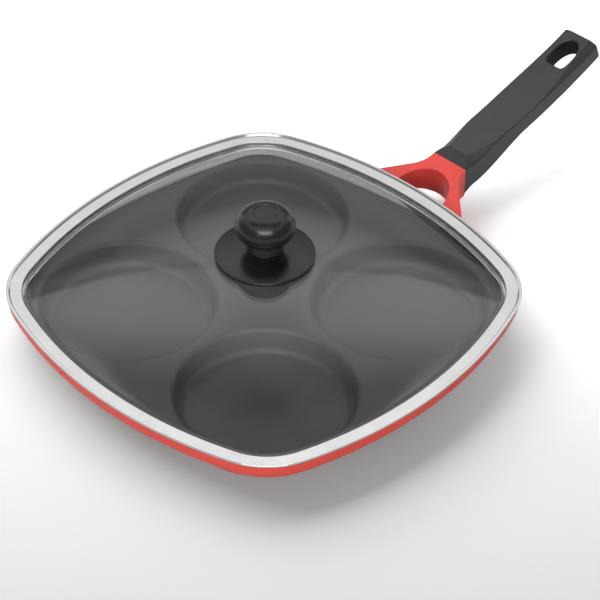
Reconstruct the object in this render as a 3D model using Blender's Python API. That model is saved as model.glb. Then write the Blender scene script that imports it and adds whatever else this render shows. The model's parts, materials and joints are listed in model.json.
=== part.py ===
"""Four-cup snack pan with a side handle and a domed glass lid.

Units are metres and +Z is up. The pan stands on the four cup floors at z = 0, and the handle
runs along +X. Two empties hold the pieces: pan_frame is the pan's own centre at stove level,
and lid_frame is the seat of the lid, on the line along which the lid is lifted off.
"""

import math

import bmesh
import bpy
from mathutils import Matrix, Vector

MM = 0.001
CLEARANCE = 0.3 * MM  # air between pieces that rest on or fit in each other

# Cups
CUP_MOUTH_RADIUS = 53.0 * MM
CUP_WEB = 3.3 * MM  # flat plate between two neighbouring mouths
CUP_DEPTH = 14.0 * MM
CUP_LIP_ROUND = 3.0 * MM
CUP_LIP_START = math.radians(102)  # where the cut enters the lip's round, from level outwards
CUP_FLOOR_ROUND = 5.0 * MM
CUP_DRAFT = math.radians(6)
CUP_WALL = 2.8 * MM
CUP_FLOOR = 3.5 * MM

# Plate and its low wall. The outline is a square with bowed sides and round corners, and the
# wall runs into the underside of the plate in a wide round.
PLATE_THICKNESS = 3.0 * MM
WALL_THICKNESS = 3.0 * MM
WALL_HEIGHT = 8.8 * MM  # plate top to rim top
WALL_LEAN = math.radians(3)
WALL_FILLET = 4.8 * MM
EDGE_ROUND = 7.8 * MM  # lower outer edge
SIDE_LAND = 13.55 * MM  # flat plate between a cup's mouth and the wall's fillet, mid side
SIDE_RADIUS = 256.2 * MM
CORNER_RADIUS = 46.3 * MM

# Lugs cast on the wall, which carry the handle yoke
LUG_SPREAD = 25.0 * MM  # handle centre line to lug centre
LUG_WIDTH = 6.0 * MM
LUG_LENGTH = 7.0 * MM  # past the wall's outer face
LUG_DROP = 2.6 * MM  # lug bottom below the plate's top
LUG_HEIGHT = 3.8 * MM

# Steel rim of the lid. It is one strip folded double at the flange.
LID_OVERHANG = 0.8 * MM
STEEL = 0.45 * MM
FLANGE_WIDTH = 2.4 * MM
FLANGE_THICKNESS = 1.3 * MM
FLANGE_HEM = 0.3 * MM
GROOVE_WIDTH = 0.6 * MM  # fine line between the flange and the band over the glass
GROOVE_DEPTH = 0.3 * MM
LID_PLAY = 1.4 * MM  # sideways room between the pan's wall and the strip's lower leg
SEAT_DROP = 4.45 * MM  # flange bottom to channel floor
SKIRT_GAP = 2.2 * MM  # skirt edge to plate
SKIRT_FLARE = 1.9 * MM
SEAL_WIDTH = 0.5 * MM
GLASS_GRIP = 2.05 * MM  # how far the strip covers the glass

# Glass
GLASS_THICKNESS = 3.5 * MM
GLASS_LIP = 3.2 * MM  # flat edge of the glass, under the strip
DOME_RISE = 26.0 * MM
DOME_POWER = 2.3  # how square-shouldered the dome is: 2 would be a parabola
DOME_ROUND_SHARE = 0.3  # inside this share of the dome its level lines are circles
GLASS_HOLE_RADIUS = 4.5 * MM

# Knob, its disc and their fastening
DISC_RADIUS = 28.7 * MM
DISC_THICKNESS = 2.0 * MM
DISC_CROWN = 3.2 * MM
KNOB_HEIGHT = 24.9 * MM
KNOB_RADIUS = 17.1 * MM
KNOB_STEM_RADIUS = 9.3 * MM
KNOB_FOOT_RADIUS = 10.4 * MM
KNOB_DISH_RADIUS = 7.3 * MM
KNOB_DISH_DEPTH = 0.7 * MM
KNOB_BELT = 15.0 * MM  # widest line of the bulb, above the foot
KNOB_UNDER_RADIUS = 11.0 * MM  # where the bulb's underside turns into the stem
KNOB_UNDER_DROP = 6.6 * MM  # that line below the widest one
KNOB_WAIST = 5.4 * MM  # top of the stem, above the foot
INSERT_RADIUS = 3.8 * MM
KNOB_INSERT_LENGTH = 13.0 * MM
KNOB_SCREW_RADIUS = 2.0 * MM
KNOB_SCREW_HEAD_RADIUS = 4.2 * MM
KNOB_SCREW_HEAD_HEIGHT = 2.8 * MM
KNOB_SCREW_REACH = 11.0 * MM  # thread inside the knob's insert
KNOB_WASHER_RADIUS = 8.0 * MM
KNOB_WASHER_THICKNESS = 1.0 * MM
GASKET_RADIUS = 9.0 * MM
LOWER_GASKET_THICKNESS = 1.5 * MM

# Handle yoke: two horns round a thumb hole. A horn's outer side runs straight from the wall and
# turns along the handle in a wide round.
YOKE_LENGTH = 30.0 * MM  # lid edge to the face that meets the grip
YOKE_JOINT_HALF_WIDTH = 12.7 * MM
YOKE_HORN_ANGLE = math.radians(46.7)
YOKE_HORN_ROUND = 16.7 * MM
YOKE_EDGE_HEIGHT = 3.7 * MM  # yoke top above the plate, at the lid's edge
YOKE_RISE = 10.0 * MM  # how far the top climbs from there to the grip
YOKE_DROP = 5.5 * MM  # yoke bottom below the plate's top, at the lid's edge
YOKE_FALL = 1.0 * MM  # how far the bottom falls from there to the grip
YOKE_TUCK = 3.0 * MM  # how far the horns reach in under the wall's round
THUMB_HOLE_RADIUS = 17.2 * MM
THUMB_HOLE_OUT = 4.5 * MM  # pan's edge to the hole's centre
SPIGOT_LENGTH = 11.0 * MM
SPIGOT_WIDTH = 13.0 * MM
SPIGOT_HEIGHT = 11.0 * MM
YOKE_SCREW_RADIUS = 1.5 * MM
YOKE_SCREW_HEAD_RADIUS = 2.8 * MM
YOKE_SCREW_HEAD_HEIGHT = 1.6 * MM
YOKE_SCREW_REACH = 2.6 * MM  # thread inside the lug
YOKE_WASHER_RADIUS = 3.3 * MM
YOKE_WASHER_THICKNESS = 0.6 * MM
YOKE_WASHER_SINK = 0.9 * MM  # counterbore in the yoke's underside

# Grip. Behind a sloping nose its top line steepens evenly to the end. The top face is narrow at
# the nose, full width along the middle and narrow again beside the hang hole.
GRIP_REACH = 286.0 * MM  # pan centre to the tip
GRIP_START_SLOPE = 0.125
GRIP_END_SLOPE = 0.394
GRIP_NOSE_LENGTH = 7.3 * MM  # sloping facet behind the yoke
GRIP_NOSE_RISE = 4.0 * MM
GRIP_NOSE_TOP_HALF_WIDTH = 7.5 * MM
GRIP_END_TOP_HALF_WIDTH = 7.8 * MM
GRIP_MIDDLE_HALF_WIDTH = 13.1 * MM
GRIP_END_HALF_WIDTH = 12.7 * MM
GRIP_FRONT_EDGE = 0.4 * MM  # height of the sloping shoulder below the top, at the joint
GRIP_NOSE_SHOULDER = 4.0 * MM
GRIP_SHOULDER = 0.8 * MM  # along the middle
GRIP_END_SHOULDER = 1.6 * MM
GRIP_FULL_FROM = 32.0 * MM  # stretch over which the top face is full width, from the joint
GRIP_FULL_TO = 66.0 * MM
GRIP_BELLY_AT = 10.0 * MM
GRIP_BELLY_THICKNESS = 21.0 * MM
GRIP_WAIST_AT = 54.0 * MM
GRIP_WAIST_THICKNESS = 13.0 * MM
GRIP_END_THICKNESS = 14.6 * MM
GRIP_KEEL = 3.0 * MM  # rounding of the lower edges
HANG_HOLE_END_MARGIN = 4.6 * MM  # far end of the hole to the end of the grip's top
HANG_HOLE_LENGTH = 21.8 * MM
HANG_HOLE_HALF_WIDTH = 7.2 * MM
HANG_HOLE_REACH = 13.5 * MM  # widest line of the hole to its far end
HANG_HOLE_POWER = 2.3  # how square-shouldered the hole is: 2 would be an ellipse
HANG_HOLE_CORNER = 2.0 * MM  # at the near end
HANG_HOLE_FLARE = 2.5 * MM  # how much wider the hole is at the grip's underside
HANG_HOLE_FLARE_DEPTH = 5.0 * MM
GRIP_SCREW_RADIUS = 2.5 * MM
GRIP_SCREW_HEAD_RADIUS = 3.8 * MM
GRIP_SCREW_HEAD_HEIGHT = 3.5 * MM
GRIP_SCREW_POCKET = 9.0 * MM  # counterbore behind the hang hole
GRIP_SCREW_DROP = 1.0 * MM  # screw below the middle of the joint
GRIP_SCREW_REACH = 9.0 * MM  # thread inside the yoke's insert
GRIP_WASHER_THICKNESS = 1.0 * MM
YOKE_INSERT_LENGTH = 12.0 * MM

# How finely round shapes are faceted
SIDE_STEPS = 8
CORNER_STEPS = 6
CUP_STEPS = 32
TURNED_STEPS = 24
DISC_STEPS = 32
SCREW_STEPS = 12

# Heights and places that follow from the sizes above
CUP_PITCH = 2 * CUP_MOUTH_RADIUS + CUP_WEB
PLATE_Z = CUP_DEPTH + CUP_FLOOR
RIM_Z = PLATE_Z + WALL_HEIGHT
SEAT_Z = RIM_Z + CLEARANCE
PAN_HALF_WIDTH = CUP_PITCH / 2 + CUP_MOUTH_RADIUS + SIDE_LAND + WALL_FILLET + WALL_THICKNESS
LID_HALF_WIDTH = PAN_HALF_WIDTH + LID_OVERHANG
PAN_X = (LID_HALF_WIDTH - GRIP_REACH) / 2  # puts the origin midway along the whole pan

# Offsets of the lid's parts from the pan's outer edge, negative inwards
LEG_OUT = -(WALL_THICKNESS + LID_PLAY)
CHANNEL_OUT = LEG_OUT - STEEL
SEAL_OUT = CHANNEL_OUT - CLEARANCE
GLASS_OUT = SEAL_OUT - SEAL_WIDTH - CLEARANCE
STRIP_IN = GLASS_OUT - GLASS_GRIP

# Heights of the lid's parts above its seat
CHANNEL_FLOOR = -SEAT_DROP
CHANNEL_CEILING = CHANNEL_FLOOR + GLASS_THICKNESS + 2 * CLEARANCE
STRIP_TOP = CHANNEL_CEILING + STEEL
GLASS_EDGE_TOP = CHANNEL_CEILING - CLEARANCE
CROWN_TOP = GLASS_EDGE_TOP + DOME_RISE

# The handle
YOKE_START_X = LID_HALF_WIDTH + CLEARANCE
JOINT_X = YOKE_START_X + YOKE_LENGTH
JOINT_TOP_Z = PLATE_Z + YOKE_EDGE_HEIGHT + YOKE_RISE
JOINT_BOTTOM_Z = PLATE_Z - YOKE_DROP - YOKE_FALL
LUG_BOTTOM_Z = PLATE_Z - LUG_DROP
SCREW_AXIS_Z = (JOINT_TOP_Z + JOINT_BOTTOM_Z) / 2 - GRIP_SCREW_DROP
GRIP_FRONT_X = JOINT_X + CLEARANCE
END_TILT = math.atan(GRIP_END_SLOPE)
GRIP_END_TOP_X = GRIP_REACH - GRIP_END_THICKNESS * math.sin(END_TILT)


def clear_scene():
    for item in list(bpy.data.objects):
        bpy.data.objects.remove(item)


def finish_material(name, colour, roughness, metallic=0.0, alpha=1.0):
    """A Principled material in a linear RGB colour."""
    made = bpy.data.materials.new(name)
    made.use_nodes = True
    shader = made.node_tree.nodes["Principled BSDF"]
    shader.inputs["Base Color"].default_value = (*colour, 1.0)
    shader.inputs["Roughness"].default_value = roughness
    shader.inputs["Metallic"].default_value = metallic
    shader.inputs["Alpha"].default_value = alpha
    made.diffuse_color = (*colour, alpha)
    return made


def frame(name, place, parent=None, tilt=0.0):
    """An empty that carries pieces. Tilt turns its Z axis from straight up towards +X."""
    made = bpy.data.objects.new(name, None)
    bpy.context.scene.collection.objects.link(made)
    made.parent = parent
    made.location = place
    made.rotation_euler = (0, tilt, 0)
    return made


def piece(name, mesh_data, parent, material=None, place=(0, 0, 0)):
    """An object from a bmesh, shaded smooth over its gentle edges."""
    bmesh.ops.recalc_face_normals(mesh_data, faces=mesh_data.faces)
    mesh = bpy.data.meshes.new(name)
    mesh_data.to_mesh(mesh)
    mesh_data.free()
    made = bpy.data.objects.new(name, mesh)
    bpy.context.scene.collection.objects.link(made)
    made.parent = parent
    made.location = place
    if material:
        mesh.materials.append(material)
    mesh.shade_smooth()
    mesh.set_sharp_from_angle(angle=math.radians(35))
    return made


def combine(target, tool, operation):
    """Adds a Boolean of the target with a tool, which is then only a guide."""
    tool.hide_render = True
    tool.display_type = "WIRE"
    modifier = target.modifiers.new(tool.name, "BOOLEAN")
    modifier.operation = operation
    modifier.solver = "EXACT"
    modifier.object = tool


def skin_rings(rings, closed):
    """A bmesh through rings of points. Closed joins the last ring to the first; otherwise
    both ends are filled."""
    made = bmesh.new()
    rows = [[made.verts.new(point) for point in ring] for ring in rings]
    pairs = list(zip(rows, rows[1:]))
    if closed:
        pairs.append((rows[-1], rows[0]))
    for low, high in pairs:
        for i in range(len(low)):
            j = (i + 1) % len(low)
            made.faces.new((low[i], low[j], high[j], high[i]))
    if not closed:
        made.faces.new(rows[0])
        made.faces.new(rows[-1])
    return made


def turned(profile, steps, closed=False):
    """A solid of revolution about Z. An open profile starts and ends on the axis."""
    made = bmesh.new()
    rows = []
    for radius, height in profile:
        if radius == 0:
            rows.append([made.verts.new((0, 0, height))] * steps)
            continue
        turns = [2 * math.pi * k / steps for k in range(steps)]
        rows.append(
            [made.verts.new((radius * math.cos(t), radius * math.sin(t), height)) for t in turns]
        )
    pairs = list(zip(rows, rows[1:]))
    if closed:
        pairs.append((rows[-1], rows[0]))
    for low, high in pairs:
        for i in range(steps):
            j = (i + 1) % steps
            corners = [low[i], low[j], high[j], high[i]]
            made.faces.new(list(dict.fromkeys(corners)))
    return made


def tube(inner, outer, bottom, top, steps):
    """A washer, bush or sleeve."""
    return turned([(inner, bottom), (outer, bottom), (outer, top), (inner, top)], steps, True)


def rod(radius, bottom, top, steps=SCREW_STEPS):
    return turned([(0, bottom), (radius, bottom), (radius, top), (0, top)], steps)


def screw(radius, length, head_radius, head_height, steps=SCREW_STEPS):
    """A round-headed screw. Its head sits below z = 0 and its shank points along +Z."""
    chamfer = radius / 3
    return turned(
        [
            (0, -head_height),
            (head_radius * 0.75, -head_height),
            (head_radius, -head_height / 2),
            (head_radius, 0),
            (radius, 0),
            (radius, length - chamfer),
            (radius - chamfer, length),
            (0, length),
        ],
        steps,
    )


def block(low, high):
    """A box between two corners."""
    made = bmesh.new()
    bmesh.ops.create_cube(made, size=1)
    size = Vector(high) - Vector(low)
    middle = (Vector(high) + Vector(low)) / 2
    bmesh.ops.transform(
        made, matrix=Matrix.Translation(middle) @ Matrix.Diagonal((*size, 1)), verts=made.verts
    )
    return made


def round_points(centre, radius, start, stop, steps):
    """Points on an arc in a plane, from the start angle to the stop angle."""
    angles = [start + (stop - start) * k / steps for k in range(steps + 1)]
    return [
        (centre[0] + radius * math.cos(t), centre[1] + radius * math.sin(t)) for t in angles
    ]


def outline(offset):
    """The pan's outer edge, moved outwards by offset: four bowed sides and four corners."""
    reach = SIDE_RADIUS - CORNER_RADIUS
    side_centre = PAN_HALF_WIDTH - SIDE_RADIUS
    corner = (side_centre + math.sqrt(2 * reach**2 - side_centre**2)) / 2
    turn = math.atan2(corner, corner - side_centre)
    quarter = round_points((side_centre, 0), SIDE_RADIUS + offset, -turn, turn, SIDE_STEPS)
    quarter += round_points(
        (corner, corner), CORNER_RADIUS + offset, turn, math.pi / 2 - turn, CORNER_STEPS
    )[1:-1]
    whole = []
    for k in range(4):
        spin = Matrix.Rotation(k * math.pi / 2, 2)
        whole += [spin @ Vector(point) for point in quarter]
    return whole


def side_x(across):
    """How far out the bowed side of the pan lies, at a distance from its middle."""
    return PAN_HALF_WIDTH - SIDE_RADIUS + math.sqrt(SIDE_RADIUS**2 - across**2)


def outline_ring(offset, height):
    return [(x, y, height) for x, y in outline(offset)]


def wall_round(radius, wall_offset, low_z):
    """Centre of a round that is tangent to the leaning wall and to a level face at low_z."""
    height = low_z + radius
    inset = (RIM_Z - height) * math.tan(WALL_LEAN) + radius / math.cos(WALL_LEAN)
    return (wall_offset - inset, height)


def cup_places():
    half = CUP_PITCH / 2
    return [(half, half), (-half, half), (-half, -half), (half, -half)]


def cup_inside():
    """Profile of the space inside a cup, from above the plate down to the floor's centre."""
    wall_radius = CUP_MOUTH_RADIUS - CUP_LIP_ROUND
    lip_centre = (CUP_MOUTH_RADIUS, -CUP_LIP_ROUND)
    lip = round_points(lip_centre, CUP_LIP_ROUND, CUP_LIP_START, math.pi - CUP_DRAFT, 3)
    floor_centre = (
        wall_radius - (CUP_DEPTH - CUP_LIP_ROUND) * math.tan(CUP_DRAFT) - CUP_FLOOR_ROUND,
        CUP_FLOOR_ROUND - CUP_DEPTH,
    )
    bend = round_points(floor_centre, CUP_FLOOR_ROUND, -CUP_DRAFT, -math.pi / 2, 3)
    above = (CUP_MOUTH_RADIUS + CUP_LIP_ROUND, CUP_LIP_ROUND)
    return [(0, above[1]), above, *lip, *bend, (0, -CUP_DEPTH)]


def cup_outside():
    """Profile of a cup's outer shell, from inside the plate down to its foot."""
    wall_radius = CUP_MOUTH_RADIUS - CUP_LIP_ROUND + CUP_WALL
    bottom = -(CUP_DEPTH + CUP_FLOOR)
    bend_z = bottom + CUP_FLOOR_ROUND
    bend_radius = wall_radius + bend_z * math.tan(CUP_DRAFT) - CUP_FLOOR_ROUND
    top = -PLATE_THICKNESS / 2
    bend = round_points((bend_radius, bend_z), CUP_FLOOR_ROUND, -CUP_DRAFT, -math.pi / 2, 3)
    return [(0, top), (wall_radius, top), *bend, (0, bottom)]


def make_pan(pan, metal, coating):
    """The cast body: plate, low wall, four cups and two handle lugs."""
    fillet_centre = wall_round(WALL_FILLET, -WALL_THICKNESS, PLATE_Z)
    fillet = round_points(fillet_centre, WALL_FILLET, -math.pi / 2, -WALL_LEAN, 4)
    edge_centre = wall_round(EDGE_ROUND, 0, PLATE_Z - PLATE_THICKNESS)
    lower_edge = round_points(edge_centre, EDGE_ROUND, -WALL_LEAN, -math.pi / 2, 5)
    profile = [*fillet, (-WALL_THICKNESS, RIM_Z), (0, RIM_Z), *lower_edge]
    body = piece(
        "pan_body",
        skin_rings([outline_ring(offset, z) for offset, z in profile], closed=False),
        pan,
        metal,
    )
    body.data.materials.append(coating)
    for polygon in body.data.polygons:
        if polygon.normal.z > 0.9 or (polygon.center.z > PLATE_Z and not is_outside(polygon)):
            polygon.material_index = 1
    for k, (x, y) in enumerate(cup_places()):
        shell = piece(
            f"cup_shell_guide_{k}", turned(cup_outside(), CUP_STEPS), pan, metal, (x, y, PLATE_Z)
        )
        combine(body, shell, "UNION")
    for side in (-1, 1):
        lug = piece(f"lug_guide_{side}", lug_shape(side), pan, metal)
        combine(body, lug, "UNION")
        thread = piece(
            f"lug_thread_guide_{side}",
            rod(YOKE_SCREW_RADIUS + CLEARANCE, -LUG_HEIGHT, YOKE_SCREW_REACH + CLEARANCE),
            pan,
            metal,
            (lug_screw_x(), side * LUG_SPREAD, LUG_BOTTOM_Z),
        )
        combine(body, thread, "DIFFERENCE")
    for k, (x, y) in enumerate(cup_places()):
        hollow = piece(
            f"cup_hollow_guide_{k}",
            turned(cup_inside(), CUP_STEPS),
            pan,
            coating,
            (x, y, PLATE_Z),
        )
        combine(body, hollow, "DIFFERENCE")


def wall_middle(z):
    """Offset of the middle of the wall's thickness at a height."""
    offset, height = wall_round(EDGE_ROUND, 0, PLATE_Z - PLATE_THICKNESS)
    radius = EDGE_ROUND - WALL_THICKNESS / 2
    return offset + math.sqrt(max(0.0, radius**2 - (height - z) ** 2))


def lug_end_x():
    return side_x(LUG_SPREAD) + LUG_LENGTH


def lug_shape(side):
    """A lug, which is rooted in the middle of the wall's round."""
    top = LUG_BOTTOM_Z + LUG_HEIGHT
    edge = side_x(LUG_SPREAD)
    profile = [
        (edge + wall_middle(LUG_BOTTOM_Z), LUG_BOTTOM_Z),
        (lug_end_x(), LUG_BOTTOM_Z),
        (lug_end_x(), top),
        (edge + wall_middle(top), top),
    ]
    ends = [side * LUG_SPREAD - LUG_WIDTH / 2, side * LUG_SPREAD + LUG_WIDTH / 2]
    return skin_rings([[(x, y, z) for x, z in profile] for y in ends], closed=False)


def is_outside(polygon):
    """Whether a wall face looks away from the pan's centre."""
    return polygon.normal.x * polygon.center.x + polygon.normal.y * polygon.center.y > 0


def lug_screw_x():
    return side_x(LUG_SPREAD) + LUG_LENGTH / 2


def make_lid_rim(lid, steel):
    """The steel strip: a doubled flange, one leg over the glass and one leg under it."""
    outer = LID_OVERHANG
    flange_in = outer - FLANGE_WIDTH
    skirt_bottom = SKIRT_GAP - WALL_HEIGHT - CLEARANCE
    leg_bottom = CHANNEL_FLOOR - STEEL
    over_glass = [
        (outer - FLANGE_HEM, 0),
        (outer, FLANGE_HEM),
        (outer, FLANGE_THICKNESS - FLANGE_HEM),
        (outer - FLANGE_HEM, FLANGE_THICKNESS),
        (flange_in, FLANGE_THICKNESS),
        (flange_in - GROOVE_WIDTH / 2, FLANGE_THICKNESS - GROOVE_DEPTH),
        (flange_in - GROOVE_WIDTH, FLANGE_THICKNESS - STEEL / 4),
        (CHANNEL_OUT, FLANGE_THICKNESS - STEEL / 2),
        (STRIP_IN + STEEL, STRIP_TOP),
        (STRIP_IN, STRIP_TOP - STEEL / 2),
        (STRIP_IN, CHANNEL_CEILING),
        (CHANNEL_OUT, CHANNEL_CEILING),
    ]
    under_glass = [
        (CHANNEL_OUT, CHANNEL_FLOOR),
        (STRIP_IN + STEEL, CHANNEL_FLOOR),
        (STRIP_IN, CHANNEL_FLOOR - STEEL),
        (STRIP_IN - SKIRT_FLARE, skirt_bottom),
        (STRIP_IN - SKIRT_FLARE + STEEL, skirt_bottom),
        (STRIP_IN + STEEL, leg_bottom),
        (LEG_OUT, leg_bottom),
        (LEG_OUT, 0),
    ]
    rings = [outline_ring(offset, z) for offset, z in over_glass + under_glass]
    piece("lid_rim", skin_rings(rings, closed=True), lid, steel)


def make_seal(lid, rubber):
    """The bead between the edge of the glass and the strip's channel."""
    bottom = CHANNEL_FLOOR + CLEARANCE
    top = CHANNEL_CEILING - CLEARANCE
    inner = SEAL_OUT - SEAL_WIDTH
    profile = [(SEAL_OUT, bottom), (SEAL_OUT, top), (inner, top), (inner, bottom)]
    piece(
        "glass_seal",
        skin_rings([outline_ring(offset, z) for offset, z in profile], closed=True),
        lid,
        rubber,
    )


def dome_edge():
    """Where the dome leaves the flat lip of the glass."""
    return outline(GLASS_OUT - GLASS_LIP)


def dome_mean_radius():
    radii = [point.length for point in dome_edge()]
    return sum(radii) / len(radii)


def dome_height(radius):
    """Height above the seat of the glass's upper face, within its round middle."""
    share = radius / dome_mean_radius()
    return GLASS_EDGE_TOP + DOME_RISE * (1 - share**DOME_POWER)


def dome_ring(share, height):
    """A level line of the dome: a circle near the middle, the pan's outline at the edge."""
    blend = max(0.0, (share - DOME_ROUND_SHARE) / (1 - DOME_ROUND_SHARE))
    mean = dome_mean_radius()
    ring = []
    for point in dome_edge():
        radius = share * (blend * point.length + (1 - blend) * mean)
        along = point.normalized() * radius
        ring.append((along.x, along.y, height))
    return ring


def make_glass(lid, glass):
    """The domed glass, with a flat lip all round and a hole for the knob's screw."""
    hole = GLASS_HOLE_RADIUS / dome_mean_radius()
    shares = [hole, 0.13, 0.26, 0.42, 0.58, 0.73, 0.86, 0.94]
    heights = [GLASS_EDGE_TOP + DOME_RISE * (1 - share**DOME_POWER) for share in shares]
    upper = [dome_ring(share, height) for share, height in zip(shares, heights)]
    lower = [
        dome_ring(share, height - GLASS_THICKNESS) for share, height in zip(shares, heights)
    ]
    lip_top = GLASS_EDGE_TOP
    lip_bottom = lip_top - GLASS_THICKNESS
    edge = [
        outline_ring(GLASS_OUT - GLASS_LIP, lip_top),
        outline_ring(GLASS_OUT, lip_top),
        outline_ring(GLASS_OUT, lip_bottom),
        outline_ring(GLASS_OUT - GLASS_LIP, lip_bottom),
    ]
    piece("lid_glass", skin_rings(upper + edge + lower[::-1], closed=True), lid, glass)


def disc_height(radius):
    """Height of the disc's upper face above the seat."""
    rim_top = dome_height(DISC_RADIUS) + CLEARANCE + DISC_THICKNESS
    return rim_top + DISC_CROWN * (1 - (radius / DISC_RADIUS) ** 2)


def make_knob(lid, phenolic, brass, steel, rubber):
    """The knob and everything on its screw, from the screw's head up."""
    bore = KNOB_SCREW_RADIUS + CLEARANCE
    radii = [bore] + [DISC_RADIUS * share for share in (0.3, 0.55, 0.8, 1.0)]
    upper = [(r, disc_height(r)) for r in radii]
    lower = [(r, z - DISC_THICKNESS) for r, z in upper]
    piece("knob_disc", turned(upper + lower[::-1], DISC_STEPS, True), lid, phenolic)

    glass_bottom = dome_height(KNOB_WASHER_RADIUS) - GLASS_THICKNESS
    upper_gasket_top = disc_height(bore) - DISC_THICKNESS - CLEARANCE - DISC_CROWN * (
        GASKET_RADIUS / DISC_RADIUS
    ) ** 2
    piece(
        "upper_gasket",
        tube(bore, GASKET_RADIUS, CROWN_TOP + CLEARANCE, upper_gasket_top, TURNED_STEPS),
        lid,
        rubber,
    )
    gasket_top = glass_bottom - CLEARANCE
    gasket_bottom = gasket_top - LOWER_GASKET_THICKNESS
    washer_top = gasket_bottom - CLEARANCE
    washer_bottom = washer_top - KNOB_WASHER_THICKNESS
    piece(
        "lower_gasket",
        tube(bore, KNOB_WASHER_RADIUS, gasket_bottom, gasket_top, TURNED_STEPS),
        lid,
        rubber,
    )
    piece(
        "knob_washer",
        tube(bore, KNOB_WASHER_RADIUS, washer_bottom, washer_top, TURNED_STEPS),
        lid,
        steel,
    )

    foot = disc_height(0) + CLEARANCE
    foot_edge = disc_height(KNOB_FOOT_RADIUS) + CLEARANCE
    insert_bottom = foot + CLEARANCE
    insert_top = insert_bottom + KNOB_INSERT_LENGTH
    piece(
        "knob_insert",
        tube(bore, INSERT_RADIUS, insert_bottom, insert_top, SCREW_STEPS),
        lid,
        brass,
    )
    head_bottom = washer_bottom - CLEARANCE
    piece(
        "knob_screw",
        screw(
            KNOB_SCREW_RADIUS,
            insert_bottom + KNOB_SCREW_REACH - head_bottom,
            KNOB_SCREW_HEAD_RADIUS,
            KNOB_SCREW_HEAD_HEIGHT,
        ),
        lid,
        steel,
        (0, 0, head_bottom),
    )

    top = foot + KNOB_HEIGHT
    belt = foot + KNOB_BELT
    waist = foot + KNOB_WAIST
    pocket = INSERT_RADIUS + CLEARANCE
    shoulder = [
        (
            KNOB_DISH_RADIUS + (KNOB_RADIUS - KNOB_DISH_RADIUS) * math.sin(turn),
            belt + (top - belt) * math.cos(turn),
        )
        for turn in (math.radians(angle) for angle in (8, 26, 45, 64, 82, 90))
    ]
    underside = [
        (
            KNOB_UNDER_RADIUS + (KNOB_RADIUS - KNOB_UNDER_RADIUS) * math.cos(turn),
            belt - KNOB_UNDER_DROP * math.sin(turn),
        )
        for turn in (math.radians(angle) for angle in (20, 42, 65, 90))
    ]
    profile = [
        (0, top - KNOB_DISH_DEPTH),
        (KNOB_DISH_RADIUS - KNOB_DISH_DEPTH, top - KNOB_DISH_DEPTH),
        (KNOB_DISH_RADIUS, top),
        *shoulder,
        *underside,
        (KNOB_STEM_RADIUS, waist),
        (KNOB_FOOT_RADIUS, foot_edge + KNOB_DISH_DEPTH),
        (KNOB_FOOT_RADIUS, foot_edge),
        (pocket, foot),
        (pocket, insert_top + CLEARANCE),
        (0, insert_top + CLEARANCE),
    ]
    piece("knob", turned(profile, TURNED_STEPS), lid, phenolic)


def yoke_top(x):
    """Height of the yoke's sloping top."""
    return PLATE_Z + YOKE_EDGE_HEIGHT + YOKE_RISE * (x - YOKE_START_X) / YOKE_LENGTH


def yoke_bottom(x):
    """Height of the yoke's sloping underside."""
    return PLATE_Z - YOKE_DROP - YOKE_FALL * (x - YOKE_START_X) / YOKE_LENGTH


def yoke_plan(inner_x):
    """The yoke seen from above, from inner_x out to the joint and back."""
    centre = (JOINT_X, YOKE_JOINT_HALF_WIDTH + YOKE_HORN_ROUND)
    turn = round_points(centre, YOKE_HORN_ROUND, -math.pi / 2 - YOKE_HORN_ANGLE, -math.pi / 2, 5)
    start_x, start_y = turn[0]
    half = [(inner_x, start_y + (start_x - inner_x) * math.tan(YOKE_HORN_ANGLE)), *turn]
    return half + [(x, -y) for x, y in reversed(half)]


def wall_cutter(top):
    """The room that the wall takes out of the yoke: its profile with the clearance added, down
    to where the yoke's horns end under the wall's round."""
    centre = wall_round(EDGE_ROUND, 0, PLATE_Z - PLATE_THICKNESS)
    radius = EDGE_ROUND + CLEARANCE
    tuck_turn = math.acos((-YOKE_TUCK - centre[0]) / radius)
    profile = [
        (CLEARANCE, top),
        (CLEARANCE, RIM_Z),
        *round_points(centre, radius, -WALL_LEAN, -tuck_turn, 4),
        (-YOKE_TUCK, 0),
    ]
    return skin_rings([outline_ring(offset, z) for offset, z in profile], closed=False)


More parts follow.
